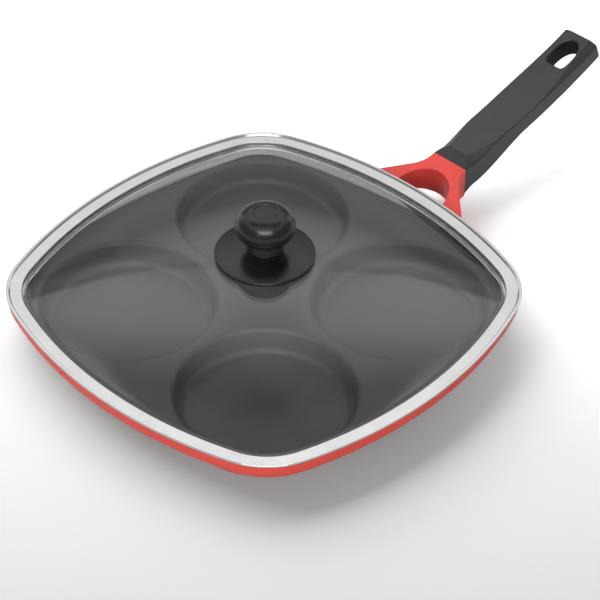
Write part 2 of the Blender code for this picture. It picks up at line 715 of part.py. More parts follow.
def make_yoke(pan, axis, enamel, brass, steel):
    """The yoke with its thumb hole, lug sockets and spigot, and what fastens it."""
    plan = yoke_plan(PAN_HALF_WIDTH - 2 * EDGE_ROUND)
    body = skin_rings(
        [[(x, y, yoke_bottom(x)) for x, y in plan], [(x, y, yoke_top(x)) for x, y in plan]],
        closed=False,
    )
    yoke = piece("handle_yoke", body, pan, enamel)

    high = JOINT_TOP_Z + YOKE_RISE
    wall = piece("wall_clearance_guide", wall_cutter(high), pan)
    combine(yoke, wall, "DIFFERENCE")
    hole = piece(
        "thumb_hole_guide",
        rod(THUMB_HOLE_RADIUS, 0, high, CUP_STEPS),
        pan,
        place=(PAN_HALF_WIDTH + THUMB_HOLE_OUT, 0, 0),
    )
    combine(yoke, hole, "DIFFERENCE")

    spigot = piece(
        "spigot_guide",
        block(
            (-SPIGOT_HEIGHT / 2, -SPIGOT_WIDTH / 2, -SPIGOT_LENGTH / 2),
            (SPIGOT_HEIGHT / 2, SPIGOT_WIDTH / 2, SPIGOT_LENGTH),
        ),
        axis,
    )
    combine(yoke, spigot, "UNION")
    insert_top = SPIGOT_LENGTH - CLEARANCE
    insert_bottom = insert_top - YOKE_INSERT_LENGTH
    pocket = piece(
        "insert_pocket_guide",
        rod(INSERT_RADIUS + CLEARANCE, insert_bottom - CLEARANCE, SPIGOT_LENGTH + SPIGOT_HEIGHT),
        axis,
    )
    combine(yoke, pocket, "DIFFERENCE")
    piece(
        "yoke_insert",
        tube(
            GRIP_SCREW_RADIUS + CLEARANCE, INSERT_RADIUS, insert_bottom, insert_top, SCREW_STEPS
        ),
        axis,
        brass,
    )

    for side, name in ((-1, "right"), (1, "left")):
        socket = piece(
            f"lug_socket_guide_{name}",
            block(
                (
                    PAN_HALF_WIDTH - 2 * EDGE_ROUND,
                    side * LUG_SPREAD - LUG_WIDTH / 2 - CLEARANCE,
                    LUG_BOTTOM_Z - CLEARANCE,
                ),
                (
                    lug_end_x() + CLEARANCE,
                    side * LUG_SPREAD + LUG_WIDTH / 2 + CLEARANCE,
                    LUG_BOTTOM_Z + LUG_HEIGHT + CLEARANCE,
                ),
            ),
            pan,
        )
        combine(yoke, socket, "DIFFERENCE")
        place = (lug_screw_x(), side * LUG_SPREAD, 0)
        shank = piece(
            f"yoke_screw_hole_guide_{name}",
            rod(YOKE_SCREW_RADIUS + CLEARANCE, 0, LUG_BOTTOM_Z),
            pan,
            place=place,
        )
        combine(yoke, shank, "DIFFERENCE")
        sink_top = yoke_bottom(lug_screw_x()) + YOKE_WASHER_SINK
        sink = piece(
            f"yoke_washer_sink_guide_{name}",
            rod(YOKE_WASHER_RADIUS + CLEARANCE, 0, sink_top),
            pan,
            place=place,
        )
        combine(yoke, sink, "DIFFERENCE")
        washer_top = sink_top - CLEARANCE
        washer_bottom = washer_top - YOKE_WASHER_THICKNESS
        piece(
            f"yoke_washer_{name}",
            tube(
                YOKE_SCREW_RADIUS + CLEARANCE,
                YOKE_WASHER_RADIUS,
                washer_bottom,
                washer_top,
                SCREW_STEPS,
            ),
            pan,
            steel,
            place,
        )
        head = washer_bottom - CLEARANCE
        piece(
            f"yoke_screw_{name}",
            screw(
                YOKE_SCREW_RADIUS,
                LUG_BOTTOM_Z + YOKE_SCREW_REACH - head,
                YOKE_SCREW_HEAD_RADIUS,
                YOKE_SCREW_HEAD_HEIGHT,
            ),
            pan,
            steel,
            (place[0], place[1], head),
        )


def smooth_step(value, low, high):
    """0 below low, 1 above high and a smooth rise between them."""
    t = min(1.0, max(0.0, (value - low) / (high - low)))
    return t * t * (3 - 2 * t)


def grip_top_z(x):
    """The grip's top line, which steepens evenly from the nose to the end."""
    nose_x = GRIP_FRONT_X + GRIP_NOSE_LENGTH
    if x < nose_x:
        return JOINT_TOP_Z + GRIP_NOSE_RISE * (x - GRIP_FRONT_X) / GRIP_NOSE_LENGTH
    along = x - nose_x
    steepening = (GRIP_END_SLOPE - GRIP_START_SLOPE) / (2 * (GRIP_END_TOP_X - nose_x))
    return JOINT_TOP_Z + GRIP_NOSE_RISE + GRIP_START_SLOPE * along + steepening * along**2


def grip_depth(along):
    """Thickness of the grip below its top line, at a distance from its front."""
    front = JOINT_TOP_Z - JOINT_BOTTOM_Z
    length = GRIP_END_TOP_X - GRIP_FRONT_X
    depth = front + smooth_step(along, 0, GRIP_BELLY_AT) * (GRIP_BELLY_THICKNESS - front)
    to_waist = smooth_step(along, GRIP_BELLY_AT, GRIP_WAIST_AT)
    depth += to_waist * (GRIP_WAIST_THICKNESS - GRIP_BELLY_THICKNESS)
    to_end = smooth_step(along, GRIP_WAIST_AT, length)
    return depth + to_end * (GRIP_END_THICKNESS - GRIP_WAIST_THICKNESS)


def grip_section(x):
    """The grip's outline where its top passes x, as (across, below the top) points."""
    along = x - GRIP_FRONT_X
    length = GRIP_END_TOP_X - GRIP_FRONT_X
    swell = smooth_step(along, 0, GRIP_FULL_TO)
    taper = smooth_step(along, GRIP_FULL_TO, length)
    side = YOKE_JOINT_HALF_WIDTH + swell * (GRIP_MIDDLE_HALF_WIDTH - YOKE_JOINT_HALF_WIDTH)
    side += taper * (GRIP_END_HALF_WIDTH - GRIP_MIDDLE_HALF_WIDTH)
    if along < GRIP_NOSE_LENGTH:
        share = along / GRIP_NOSE_LENGTH
        top = side + share * (GRIP_NOSE_TOP_HALF_WIDTH - side)
        shoulder = GRIP_FRONT_EDGE + share * (GRIP_NOSE_SHOULDER - GRIP_FRONT_EDGE)
    else:
        widen = smooth_step(along, GRIP_NOSE_LENGTH, GRIP_FULL_FROM)
        full = side - GRIP_SHOULDER / 2
        top = GRIP_NOSE_TOP_HALF_WIDTH + widen * (full - GRIP_NOSE_TOP_HALF_WIDTH)
        top += taper * (GRIP_END_TOP_HALF_WIDTH - full)
        shoulder = GRIP_NOSE_SHOULDER + widen * (GRIP_SHOULDER - GRIP_NOSE_SHOULDER)
        shoulder += taper * (GRIP_END_SHOULDER - GRIP_SHOULDER)
    depth = grip_depth(along)
    keel = GRIP_KEEL
    half = [
        (top, 0),
        (side, shoulder),
        (side, depth - keel),
        (side - keel / 3, depth - keel / 3),
        (side - keel, depth),
    ]
    return half + [(-y, d) for y, d in reversed(half)]


def grip_ring(x, lean):
    """A section of the grip, leaning back by an angle from upright."""
    down = (math.sin(lean), -math.cos(lean))
    return [
        (x + down[0] * d, y, grip_top_z(x) + down[1] * d) for y, d in grip_section(x)
    ]


def hang_hole_near_x():
    return GRIP_END_TOP_X - HANG_HOLE_END_MARGIN - HANG_HOLE_LENGTH


def hang_hole_side(x, grow):
    """Half width of the hang hole at a distance from its widest line."""
    share = abs(x) / (HANG_HOLE_REACH + grow)
    bow = (1 - share**HANG_HOLE_POWER) ** (1 / HANG_HOLE_POWER)
    return bow * (HANG_HOLE_HALF_WIDTH + grow)


def hang_hole_plan(grow):
    """The hang hole from above: bowed sides that close in a round far end, and a straight near
    end with small corners."""
    far = HANG_HOLE_REACH + grow
    near = HANG_HOLE_REACH - HANG_HOLE_LENGTH - grow
    start = math.acos((near + HANG_HOLE_CORNER) / far)
    bowed = [far * math.cos(start * (1 - k / 9)) for k in range(9)]
    half = [(near, hang_hole_side(near, grow) - HANG_HOLE_CORNER)]
    half += [(x, hang_hole_side(x, grow)) for x in bowed]
    whole = [*half, (far, 0), *((x, -y) for x, y in reversed(half))]
    widest = HANG_HOLE_LENGTH / 2 - HANG_HOLE_REACH
    return [(widest + x, y) for x, y in whole]


def screw_tilt():
    """How steeply the long screw climbs: it aims at the middle of the hang hole's near wall."""
    x = hang_hole_near_x()
    middle_z = grip_top_z(x) - grip_depth(x - GRIP_FRONT_X) / 2
    return math.atan2(middle_z - SCREW_AXIS_Z, x - JOINT_X)


def make_grip(pan, axis, grip_plastic, steel):
    """The grip with its hang hole, and the long screw that draws it on to the yoke."""
    nose = GRIP_NOSE_LENGTH
    length = GRIP_END_TOP_X - GRIP_FRONT_X
    stations = [0, nose] + [nose + (length - nose) * k / 12 for k in range(1, 13)]
    rings = [
        grip_ring(GRIP_FRONT_X + along, END_TILT * smooth_step(along, 0, length))
        for along in stations
    ]
    grip = piece("handle_grip", skin_rings(rings, closed=False), pan, grip_plastic)

    far_x = GRIP_END_TOP_X - HANG_HOLE_END_MARGIN
    middle_x = far_x - HANG_HOLE_LENGTH / 2
    hole_tilt = math.atan(
        (grip_top_z(far_x) - grip_top_z(far_x - HANG_HOLE_LENGTH)) / HANG_HOLE_LENGTH
    )
    hole_frame = frame("hang_hole_frame", (middle_x, 0, grip_top_z(middle_x)), pan, -hole_tilt)
    thickness = grip_depth(middle_x - GRIP_FRONT_X)
    levels = [
        (thickness, 0),
        (HANG_HOLE_FLARE_DEPTH - thickness, 0),
        (-thickness, HANG_HOLE_FLARE),
        (-2 * thickness, HANG_HOLE_FLARE),
    ]
    hole = piece(
        "hang_hole_guide",
        skin_rings([[(x, y, z) for x, y in hang_hole_plan(grow)] for z, grow in levels], False),
        hole_frame,
    )
    combine(grip, hole, "DIFFERENCE")

    socket = piece(
        "spigot_socket_guide",
        block(
            (
                -SPIGOT_HEIGHT / 2 - CLEARANCE,
                -SPIGOT_WIDTH / 2 - CLEARANCE,
                -SPIGOT_LENGTH,
            ),
            (
                SPIGOT_HEIGHT / 2 + CLEARANCE,
                SPIGOT_WIDTH / 2 + CLEARANCE,
                SPIGOT_LENGTH + CLEARANCE,
            ),
        ),
        axis,
    )
    combine(grip, socket, "DIFFERENCE")

    bore_end = (hang_hole_near_x() - JOINT_X) / math.cos(screw_tilt())
    seat = bore_end - GRIP_SCREW_POCKET
    bore_radius = GRIP_SCREW_RADIUS + CLEARANCE
    bore = piece("screw_bore_guide", rod(bore_radius, 0, bore_end), axis)
    combine(grip, bore, "DIFFERENCE")
    pocket_radius = GRIP_SCREW_HEAD_RADIUS + CLEARANCE
    pocket = piece(
        "screw_pocket_guide", rod(pocket_radius, seat, bore_end + HANG_HOLE_HALF_WIDTH), axis
    )
    combine(grip, pocket, "DIFFERENCE")

    washer_bottom = seat + CLEARANCE
    washer_top = washer_bottom + GRIP_WASHER_THICKNESS
    piece(
        "grip_washer",
        tube(bore_radius, GRIP_SCREW_HEAD_RADIUS, washer_bottom, washer_top, SCREW_STEPS),
        axis,
        steel,
    )
    head_seat = washer_top + CLEARANCE
    reach = head_seat - (SPIGOT_LENGTH - CLEARANCE) + GRIP_SCREW_REACH
    long_screw = piece(
        "grip_screw",
        screw(GRIP_SCREW_RADIUS, reach, GRIP_SCREW_HEAD_RADIUS, GRIP_SCREW_HEAD_HEIGHT),
        axis,
        steel,
        (0, 0, head_seat),
    )
    long_screw.rotation_euler = (math.pi, 0, 0)


def main():
    clear_scene()
    red = finish_material("red_enamel", (0.62, 0.045, 0.035), 0.35)
    coating = finish_material("nonstick_coating", (0.085, 0.08, 0.08), 0.45, 0.3)
    red_yoke = finish_material("yoke_enamel", (0.78, 0.06, 0.045), 0.4)
    black_grip = finish_material("grip_plastic", (0.05, 0.051, 0.049), 0.55)
    knob_black = finish_material("knob_phenolic", (0.012, 0.012, 0.014), 0.12)
    steel_rim = finish_material("polished_steel", (0.72, 0.71, 0.7), 0.18, 1.0)
    glass = finish_material("clear_glass", (0.9, 0.95, 0.93), 0.02, 0.0, 0.25)
    rubber = finish_material("silicone", (0.25, 0.25, 0.25), 0.7)
    brass = finish_material("brass", (0.62, 0.42, 0.14), 0.3, 1.0)
    zinc_steel = finish_material("fastener_steel", (0.5, 0.5, 0.5), 0.35, 1.0)

    pan = frame("pan_frame", (PAN_X, 0, 0))
    lid = frame("lid_frame", (0, 0, SEAT_Z), pan)
    axis = frame(
        "grip_screw_frame", (JOINT_X, 0, SCREW_AXIS_Z), pan, math.pi / 2 - screw_tilt()
    )

    make_pan(pan, red, coating)
    make_yoke(pan, axis, red_yoke, brass, zinc_steel)
    make_grip(pan, axis, black_grip, zinc_steel)
    make_lid_rim(lid, steel_rim)
    make_seal(lid, rubber)
    make_glass(lid, glass)
    make_knob(lid, knob_black, brass, zinc_steel, rubber)


main()
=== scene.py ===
# %% [markdown]
# # A four-cup snack pan, dressed for a studio photograph
#
# The pan is a cast square with bowed sides. It has four round shallow cups, a domed glass lid in
# a steel strip, a yoke with a thumb hole and a grip that climbs away from the stove.
#
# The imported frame, which the first cell loads, settles what each piece is and where it stands. All
# that follows is about looks: each new piece stands for one solid, inside the same space.

# %% Load the fixed frame
import json
import math

import bmesh
import bpy
from mathutils import Matrix, Vector


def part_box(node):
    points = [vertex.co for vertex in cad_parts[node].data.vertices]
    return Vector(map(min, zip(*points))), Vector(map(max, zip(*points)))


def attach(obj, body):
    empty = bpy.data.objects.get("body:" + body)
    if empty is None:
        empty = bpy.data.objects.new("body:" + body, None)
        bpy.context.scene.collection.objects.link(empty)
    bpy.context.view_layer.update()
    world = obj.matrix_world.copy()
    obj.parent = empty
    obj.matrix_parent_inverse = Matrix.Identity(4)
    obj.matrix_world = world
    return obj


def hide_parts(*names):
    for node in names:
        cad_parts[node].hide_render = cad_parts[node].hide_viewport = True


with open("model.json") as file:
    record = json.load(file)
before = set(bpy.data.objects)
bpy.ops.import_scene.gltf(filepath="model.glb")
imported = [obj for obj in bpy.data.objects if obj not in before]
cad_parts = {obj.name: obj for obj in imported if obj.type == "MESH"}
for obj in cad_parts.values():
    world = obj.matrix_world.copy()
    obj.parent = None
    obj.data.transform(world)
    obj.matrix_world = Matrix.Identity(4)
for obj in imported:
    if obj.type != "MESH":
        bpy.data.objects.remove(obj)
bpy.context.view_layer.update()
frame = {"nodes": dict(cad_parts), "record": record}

MM = 0.001
rim_low, rim_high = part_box("lid_rim")
CENTRE = Vector(((rim_low.x + rim_high.x) / 2, 0, 0))  # the pan's own centre, on the stove
ORIGIN = Vector((0, 0, 0))
print("pan centre", [round(value / MM, 1) for value in CENTRE], "mm;", len(frame["nodes"]), "nodes")

# %% [markdown]
# ## The camera
#
# The photograph looks down at the pan's right front corner from far away, through a long lens, so
# that the square hardly narrows towards the back. The camera stands on a sphere round the pan's
# centre. A short shove sideways then puts the pan where it sits in the picture.

# %% Place the camera
CAMERA_TURN = math.radians(-47.119)
CAMERA_HEIGHT = math.radians(40.44)
CAMERA_ROLL = math.radians(1.289)
CAMERA_DISTANCE = 1.456678
CAMERA_LENS = 152.81
CAMERA_SENSOR = 36  # millimetres, as is the lens
CAMERA_SHOVE = (-0.02035, -0.000214)
PLATE_TOP = 17.5 * MM

back = Vector((
    math.sin(CAMERA_TURN) * math.cos(CAMERA_HEIGHT),
    -math.cos(CAMERA_TURN) * math.cos(CAMERA_HEIGHT),
    math.sin(CAMERA_HEIGHT),
))
level = (-back).cross(Vector((0, 0, 1))).normalized()
upright = level.cross(-back)
right = level * math.cos(CAMERA_ROLL) + upright * math.sin(CAMERA_ROLL)
up = upright * math.cos(CAMERA_ROLL) - level * math.sin(CAMERA_ROLL)
look_at = CENTRE + Vector((0, 0, PLATE_TOP))
place = look_at + back * CAMERA_DISTANCE - right * CAMERA_SHOVE[0] - up * CAMERA_SHOVE[1]

bpy.ops.object.camera_add()
camera = bpy.context.object
camera.matrix_world = Matrix.Translation(place) @ Matrix((right, up, back)).transposed().to_4x4()
camera.data.sensor_width = CAMERA_SENSOR
camera.data.lens = CAMERA_LENS
bpy.context.scene.camera = camera
print("camera stands", round((place - look_at).length, 3), "m from the plate's middle")

# %% [markdown]
# ## Small tools for modelling
#
# Operators act on all that is selected, so each piece starts with nothing selected. Nearly every
# shape is made in one of two ways: a loop is extruded again and again, each time moved on to the
# next outline, or a profile is spun about an upright line, as on a lathe.

# %% Start and finish a piece
def fresh():
    """Leaves edit mode and deselects everything."""
    if bpy.context.object and bpy.context.object.mode == "EDIT":
        bpy.ops.object.mode_set(mode="OBJECT")
    bpy.ops.object.select_all(action="DESELECT")


def start_loop(name, points):
    """A new piece that is one loop of points so far, selected in edit mode."""
    fresh()
    bpy.ops.mesh.primitive_circle_add(vertices=len(points), radius=1)
    piece = bpy.context.object
    piece.name = piece.data.name = name
    for vertex, point in zip(piece.data.vertices, points):
        vertex.co = point
    bpy.ops.object.mode_set(mode="EDIT")
    bpy.ops.mesh.select_all(action="SELECT")
    return piece


def next_loop(piece, points):
    """Extrudes the selected loop and moves the new one on to the points."""
    bpy.ops.mesh.extrude_edges_move()
    shape = bmesh.from_edit_mesh(piece.data)
    picked = [vertex for vertex in shape.verts if vertex.select]
    for vertex, point in zip(picked, points):
        vertex.co = point
    bmesh.update_edit_mesh(piece.data)


def close_up(piece):
    """Merges what lies together, drops loose edges and turns the faces outwards."""
    bpy.ops.mesh.select_all(action="SELECT")
    bpy.ops.mesh.remove_doubles(threshold=0.002 * MM)
    bpy.ops.mesh.delete_loose()
    bpy.ops.mesh.select_all(action="SELECT")
    bpy.ops.mesh.normals_make_consistent(inside=False)
    bpy.ops.object.mode_set(mode="OBJECT")
    return piece


# %% Skins and turned pieces
def skin(name, loops, joined=False):
    """A closed skin through loops of points. A joined one runs from the last loop back to the
    first; otherwise both ends are filled."""
    piece = start_loop(name, loops[0])
    for loop in loops[1:]:
        next_loop(piece, loop)
    if joined:
        next_loop(piece, loops[0])
    else:
        bpy.ops.mesh.select_all(action="SELECT")
        bpy.ops.mesh.fill_holes(sides=0)
    return close_up(piece)


def spun(name, profile, steps, middle=CENTRE):
    """A closed profile of (radius, height) points, turned about an upright line."""
    piece = start_loop(name, [(middle.x + radius, middle.y, z) for radius, z in profile])
    bpy.ops.mesh.spin(steps=steps, angle=2 * math.pi, center=(middle.x, middle.y, 0), axis=(0, 0, 1))
    return close_up(piece)


# %% Cut, melt together and shade
def pick(piece):
    """Makes a piece the only selected object."""
    fresh()
    piece.select_set(True)
    bpy.context.view_layer.objects.active = piece


def carve(piece, tool, operation="DIFFERENCE"):
    """Cuts a tool out of a piece, or melts it in with UNION, and removes the tool."""
    pick(piece)
    bpy.ops.object.modifier_add(type="BOOLEAN")
    modifier = piece.modifiers[-1]
    modifier.operation = operation
    modifier.solver = "EXACT"
    modifier.object = tool
    bpy.ops.object.modifier_apply(modifier=modifier.name)
    bpy.data.objects.remove(tool)


def smooth(piece, crease=32):
    """Shades a piece smooth up to a crease angle, and lets its large faces stay flat."""
    pick(piece)
    bpy.ops.object.shade_smooth_by_angle(angle=math.radians(crease))
    bpy.ops.object.modifier_add(type="WEIGHTED_NORMAL")
    piece.modifiers[-1].keep_sharp = True
    bpy.ops.object.modifier_apply(modifier=piece.modifiers[-1].name)
    print(piece.name, "has", len(piece.data.polygons), "faces")


# %% Make plain boxes and rods
def box_piece(name, low, high):
    """A box between two corners."""
    fresh()
    bpy.ops.mesh.primitive_cube_add(size=1, location=(Vector(low) + Vector(high)) / 2)
    piece = bpy.context.object
    piece.name = piece.data.name = name
    piece.scale = Vector(high) - Vector(low)
    bpy.ops.object.transform_apply(location=True, rotation=True, scale=True)
    return piece


def rod(name, radius, low, high, middle=ORIGIN, steps=48):
    """A plain upright round bar."""
    return spun(name, [(0, low), (radius, low), (radius, high), (0, high)], steps, middle)


def placed(piece, where, axis, angle):
    """Turns and moves a piece and then puts its place into its mesh."""
    pick(piece)
    piece.matrix_world = Matrix.Translation(where) @ Matrix.Rotation(angle, 4, axis)
    bpy.ops.object.transform_apply(location=True, rotation=True, scale=True)
    return piece


# %% [markdown]
# Real edges are never knife-sharp, and the thin highlight along a rounded edge is much of what
# makes metal look like metal. A profile is therefore written as corners with a radius each.

# %% Round the corners of a profile
def spread(low, high, steps):
    """Evenly spaced values from low to high."""
    return [low + (high - low) * k / steps for k in range(steps + 1)]


def arc(centre, radius, start, stop, steps):
    """Points on an arc, with its angles in degrees."""
    turns = map(math.radians, spread(start, stop, steps))
    return [(centre[0] + radius * math.cos(t), centre[1] + radius * math.sin(t)) for t in turns]


def rounded(corners, steps=4):
    """A closed profile of (x, y, radius) corners, with an arc of that radius at each."""
    profile = []
    for k, (x, y, radius) in enumerate(corners):
        corner = Vector((x, y))
        if radius == 0:
            profile.append((x, y))
            continue
        before = Vector(corners[k - 1][:2]) - corner
        after = Vector(corners[(k + 1) % len(corners)][:2]) - corner
        half = before.angle(after) / 2
        cut = min(radius / math.tan(half), 0.45 * min(before.length, after.length))
        start = corner + before.normalized() * cut
        end = corner + after.normalized() * cut
        for share in spread(0, 1, steps):
            point = start.lerp(corner, share).lerp(corner.lerp(end, share), share)
            profile.append(tuple(point))
    return profile


print("a rounded square has", len(rounded([(0, 0, 1), (9, 0, 1), (9, 9, 1), (0, 9, 1)])), "points")

# %% [markdown]
# ## The pan's outline
#
# Seen from above, the pan, the lid and the glass share one line: four bowed sides and four wide
# round corners, in arcs that meet without a kink. To move it in or out, only the arcs' radii
# change. Every rim below asks for this line at its own offset.

# %% Draw the outline
PAN_HALF_WIDTH = 129.0 * MM
SIDE_RADIUS = 256.2 * MM
CORNER_RADIUS = 46.3 * MM
SIDE_STEPS = 28
CORNER_STEPS = 20


def outline(offset):
    """The pan's outer edge moved outwards, as points round its centre."""
    reach = SIDE_RADIUS - CORNER_RADIUS
    side_centre = PAN_HALF_WIDTH - SIDE_RADIUS
    corner = (side_centre + math.sqrt(2 * reach**2 - side_centre**2)) / 2
    turn = math.degrees(math.atan2(corner, corner - side_centre))
    quarter = arc((side_centre, 0), SIDE_RADIUS + offset, -turn, turn, SIDE_STEPS)
    quarter += arc((corner, corner), CORNER_RADIUS + offset, turn, 90 - turn, CORNER_STEPS)[1:-1]
    whole = []
    for k in range(4):
        spin = Matrix.Rotation(k * math.pi / 2, 2)
        whole += [spin @ Vector(point) for point in quarter]
    return whole


def ring(offset, z):
    """The outline at an offset and a height."""
    return [(CENTRE.x + x, y, z) for x, y in outline(offset)]


def swept(name, profile, joined=False):
    """A skin whose profile of (offset, height) points runs round the outline."""
    return skin(name, [ring(*point) for point in profile], joined)


def side_x(across):
    """How far out of the pan's centre its bowed side lies."""
    return PAN_HALF_WIDTH - SIDE_RADIUS + math.sqrt(SIDE_RADIUS**2 - across**2)


print("the outline has", len(outline(0)), "points")

# %% [markdown]
# ## The cast body
#
# The real body is one aluminium casting: a plate, a low wall that runs into it in wide rounds,
# and four cups. A solid slab with its wall is made first, four cup shells are melted in from
# below, and four turned hollows are cut from above, with a round lip and a round floor, because
# a coated pan has no sharp edge anywhere.

# %% Raise the plate and its wall
CUP_DEPTH = 14.0 * MM
CUP_FLOOR = 3.5 * MM
PLATE_THICKNESS = 3.0 * MM
WALL_THICKNESS = 3.0 * MM
WALL_LEAN = 3  # degrees
WALL_FILLET = 4.8 * MM
EDGE_ROUND = 7.8 * MM
RIM_TOP = PLATE_TOP + 8.8 * MM
RIM_EDGE = 0.7 * MM


def wall_round(radius, offset, low):
    """Centre of a round that touches the leaning wall and a level face below it."""
    lean = math.radians(WALL_LEAN)
    height = low + radius
    return (offset - (RIM_TOP - height) * math.tan(lean) - radius / math.cos(lean), height)


inner_round = wall_round(WALL_FILLET, -WALL_THICKNESS, PLATE_TOP)
outer_round = wall_round(EDGE_ROUND, 0, PLATE_TOP - PLATE_THICKNESS)
wall_profile = arc(inner_round, WALL_FILLET, -90, -WALL_LEAN, 10)
wall_profile += arc((RIM_EDGE - WALL_THICKNESS, RIM_TOP - RIM_EDGE), RIM_EDGE, 180, 90, 4)
wall_profile += arc((-RIM_EDGE, RIM_TOP - RIM_EDGE), RIM_EDGE, 90, 0, 4)
wall_profile += arc(outer_round, EDGE_ROUND, -WALL_LEAN, -90, 16)
pan_shell = swept("pan_shell", wall_profile)
print("the wall's profile has", len(wall_profile), "points")

# %% [markdown]
# The body wears two finishes: red enamel outside and a dark nonstick coating inside. A face
# belongs to the coating when it looks up or in towards the middle. The Boolean tools carry the
# same two materials in the same order, so that each cut face arrives with its finish.

# %% Sort the faces into enamel and coating
enamel = bpy.data.materials.new("red_enamel")
coating = bpy.data.materials.new("nonstick_coating")
ENAMEL, COATING = 0, 1


def two_finishes(piece, index=ENAMEL):
    """Gives a piece the body's two materials, with all its faces in one of them."""
    piece.data.materials.append(enamel)
    piece.data.materials.append(coating)
    for face in piece.data.polygons:
        face.material_index = index
    return piece


two_finishes(pan_shell)
for face in pan_shell.data.polygons:
    outwards = face.normal.dot((face.center - CENTRE).normalized())
    looks_up = face.normal.z > 0.7
    if looks_up or (outwards < 0 and face.center.z > PLATE_TOP):
        face.material_index = COATING
print(sum(face.material_index for face in pan_shell.data.polygons), "faces are coated so far")

# %% Melt in the cups' shells
CUP_RADIUS = 53.0 * MM
CUP_PITCH = 109.3 * MM
CUP_LIP = 3.0 * MM
CUP_BEND = 5.0 * MM
CUP_DRAFT = 6  # degrees
CUP_WALL = 2.8 * MM
SHELL_FILLET = 1.6 * MM
SHELL_OVERLAP = 1.0 * MM  # how far a shell reaches into the plate
CUP_STEPS = 128

half_pitch = CUP_PITCH / 2
cup_middles = [
    CENTRE + Vector((x, y, 0)) for x in (-half_pitch, half_pitch) for y in (-half_pitch, half_pitch)
]
slope = math.tan(math.radians(CUP_DRAFT))
wall_at_lip = CUP_RADIUS - CUP_LIP
under_plate = PLATE_TOP - PLATE_THICKNESS
shell_top = wall_at_lip + CUP_WALL
shell_foot = shell_top - (CUP_DEPTH + CUP_FLOOR) * slope
shell_profile = [(0, under_plate + SHELL_OVERLAP),
                 (shell_top + SHELL_FILLET, under_plate + SHELL_OVERLAP)]
shell_profile += rounded([
    (shell_top + SHELL_FILLET, under_plate + 0.02 * MM, 0),
    (shell_top, under_plate, SHELL_FILLET),
    (shell_foot, 0, CUP_BEND),
    (0, 0, 0),
], 8)
for middle in cup_middles:
    shell = spun("cup_shell", shell_profile, CUP_STEPS, middle)
    carve(pan_shell, two_finishes(shell), "UNION")
print("shells of", round(shell_foot / MM, 1), "mm radius at the foot")

# %% Melt in the lugs and bore them
LUG_SPREAD = 25.0 * MM
LUG_SIZE = Vector((7.0, 6.0, 3.8)) * MM
LUG_BOTTOM = PLATE_TOP - 2.6 * MM
LUG_ROOT = 12.0 * MM  # how far the lug's upper part reaches in under the plate
LUG_NOSE = 6.5 * MM
LUG_STEP = 1.0 * MM  # by which the nose is lower
LUG_THREAD = 2.9 * MM
YOKE_SCREW_RADIUS = 1.5 * MM
GAP = 0.3 * MM  # between pieces that don't touch

lug_end = CENTRE.x + side_x(LUG_SPREAD) + LUG_SIZE.x
lug_screw_x = lug_end - LUG_SIZE.x / 2
lug_middles = [Vector((lug_screw_x, side * LUG_SPREAD, 0)) for side in (-1, 1)]


def lug_box(name, middle, start, bottom, grow=0.0):
    """A box as wide as a lug that runs out to its end and up to its top, grown by a little."""
    reach = LUG_SIZE.y / 2 + grow
    return box_piece(name, (start, middle.y - reach, bottom - grow),
                     (lug_end + grow, middle.y + reach, LUG_BOTTOM + LUG_SIZE.z + grow))


for middle in lug_middles:
    for length, bottom in ((LUG_ROOT, LUG_BOTTOM + LUG_STEP), (LUG_NOSE, LUG_BOTTOM)):
        lug = lug_box("lug", middle, lug_end - length, bottom)
        carve(pan_shell, two_finishes(lug), "UNION")
    thread = rod("lug_thread", YOKE_SCREW_RADIUS + GAP, 0, LUG_BOTTOM + LUG_THREAD, middle, 32)
    carve(pan_shell, two_finishes(thread))
print("the lugs' screws stand", round(2 * LUG_SPREAD / MM, 1), "mm apart")

# %% Cut the four hollows
hollow_profile = [(0, PLATE_TOP + CUP_LIP), (CUP_RADIUS + CUP_LIP, PLATE_TOP + CUP_LIP)]
hollow_profile += arc((CUP_RADIUS, PLATE_TOP - CUP_LIP), CUP_LIP, 95, 180 - CUP_DRAFT, 9)
floor_at = wall_at_lip - (CUP_DEPTH - CUP_LIP) * slope - CUP_BEND
hollow_profile += arc((floor_at, PLATE_TOP - CUP_DEPTH + CUP_BEND), CUP_BEND, -CUP_DRAFT, -90, 10)
hollow_profile.append((0, PLATE_TOP - CUP_DEPTH))
for middle in cup_middles:
    hollow = spun("cup_hollow", hollow_profile, CUP_STEPS, middle)
    carve(pan_shell, two_finishes(hollow, COATING))
smooth(pan_shell)

# %% [markdown]
# ## The steel strip of the lid
#
# The lid's rim is one strip of stainless steel, folded double where it rests on the pan. From
# outside in it shows a rolled lip, a steep step, a flat band on the glass and, seen through the
# glass, a skirt that leans down into the pan. Its section is swept round the outline.

# %% Roll the strip
SEAT = RIM_TOP + GAP
STEEL = 0.45 * MM
OVERHANG = 0.8 * MM
LIP_WIDTH = 1.5 * MM
LIP_THICKNESS = 1.3 * MM
STEP_WIDTH = 0.8 * MM
CHANNEL_OUT = -4.85 * MM
STRIP_IN = -8.0 * MM
CHANNEL_FLOOR = SEAT - 4.45 * MM
CHANNEL_CEILING = CHANNEL_FLOOR + 4.1 * MM
SKIRT_BOTTOM = PLATE_TOP + 2.6 * MM
SKIRT_FLARE = 2.1 * MM

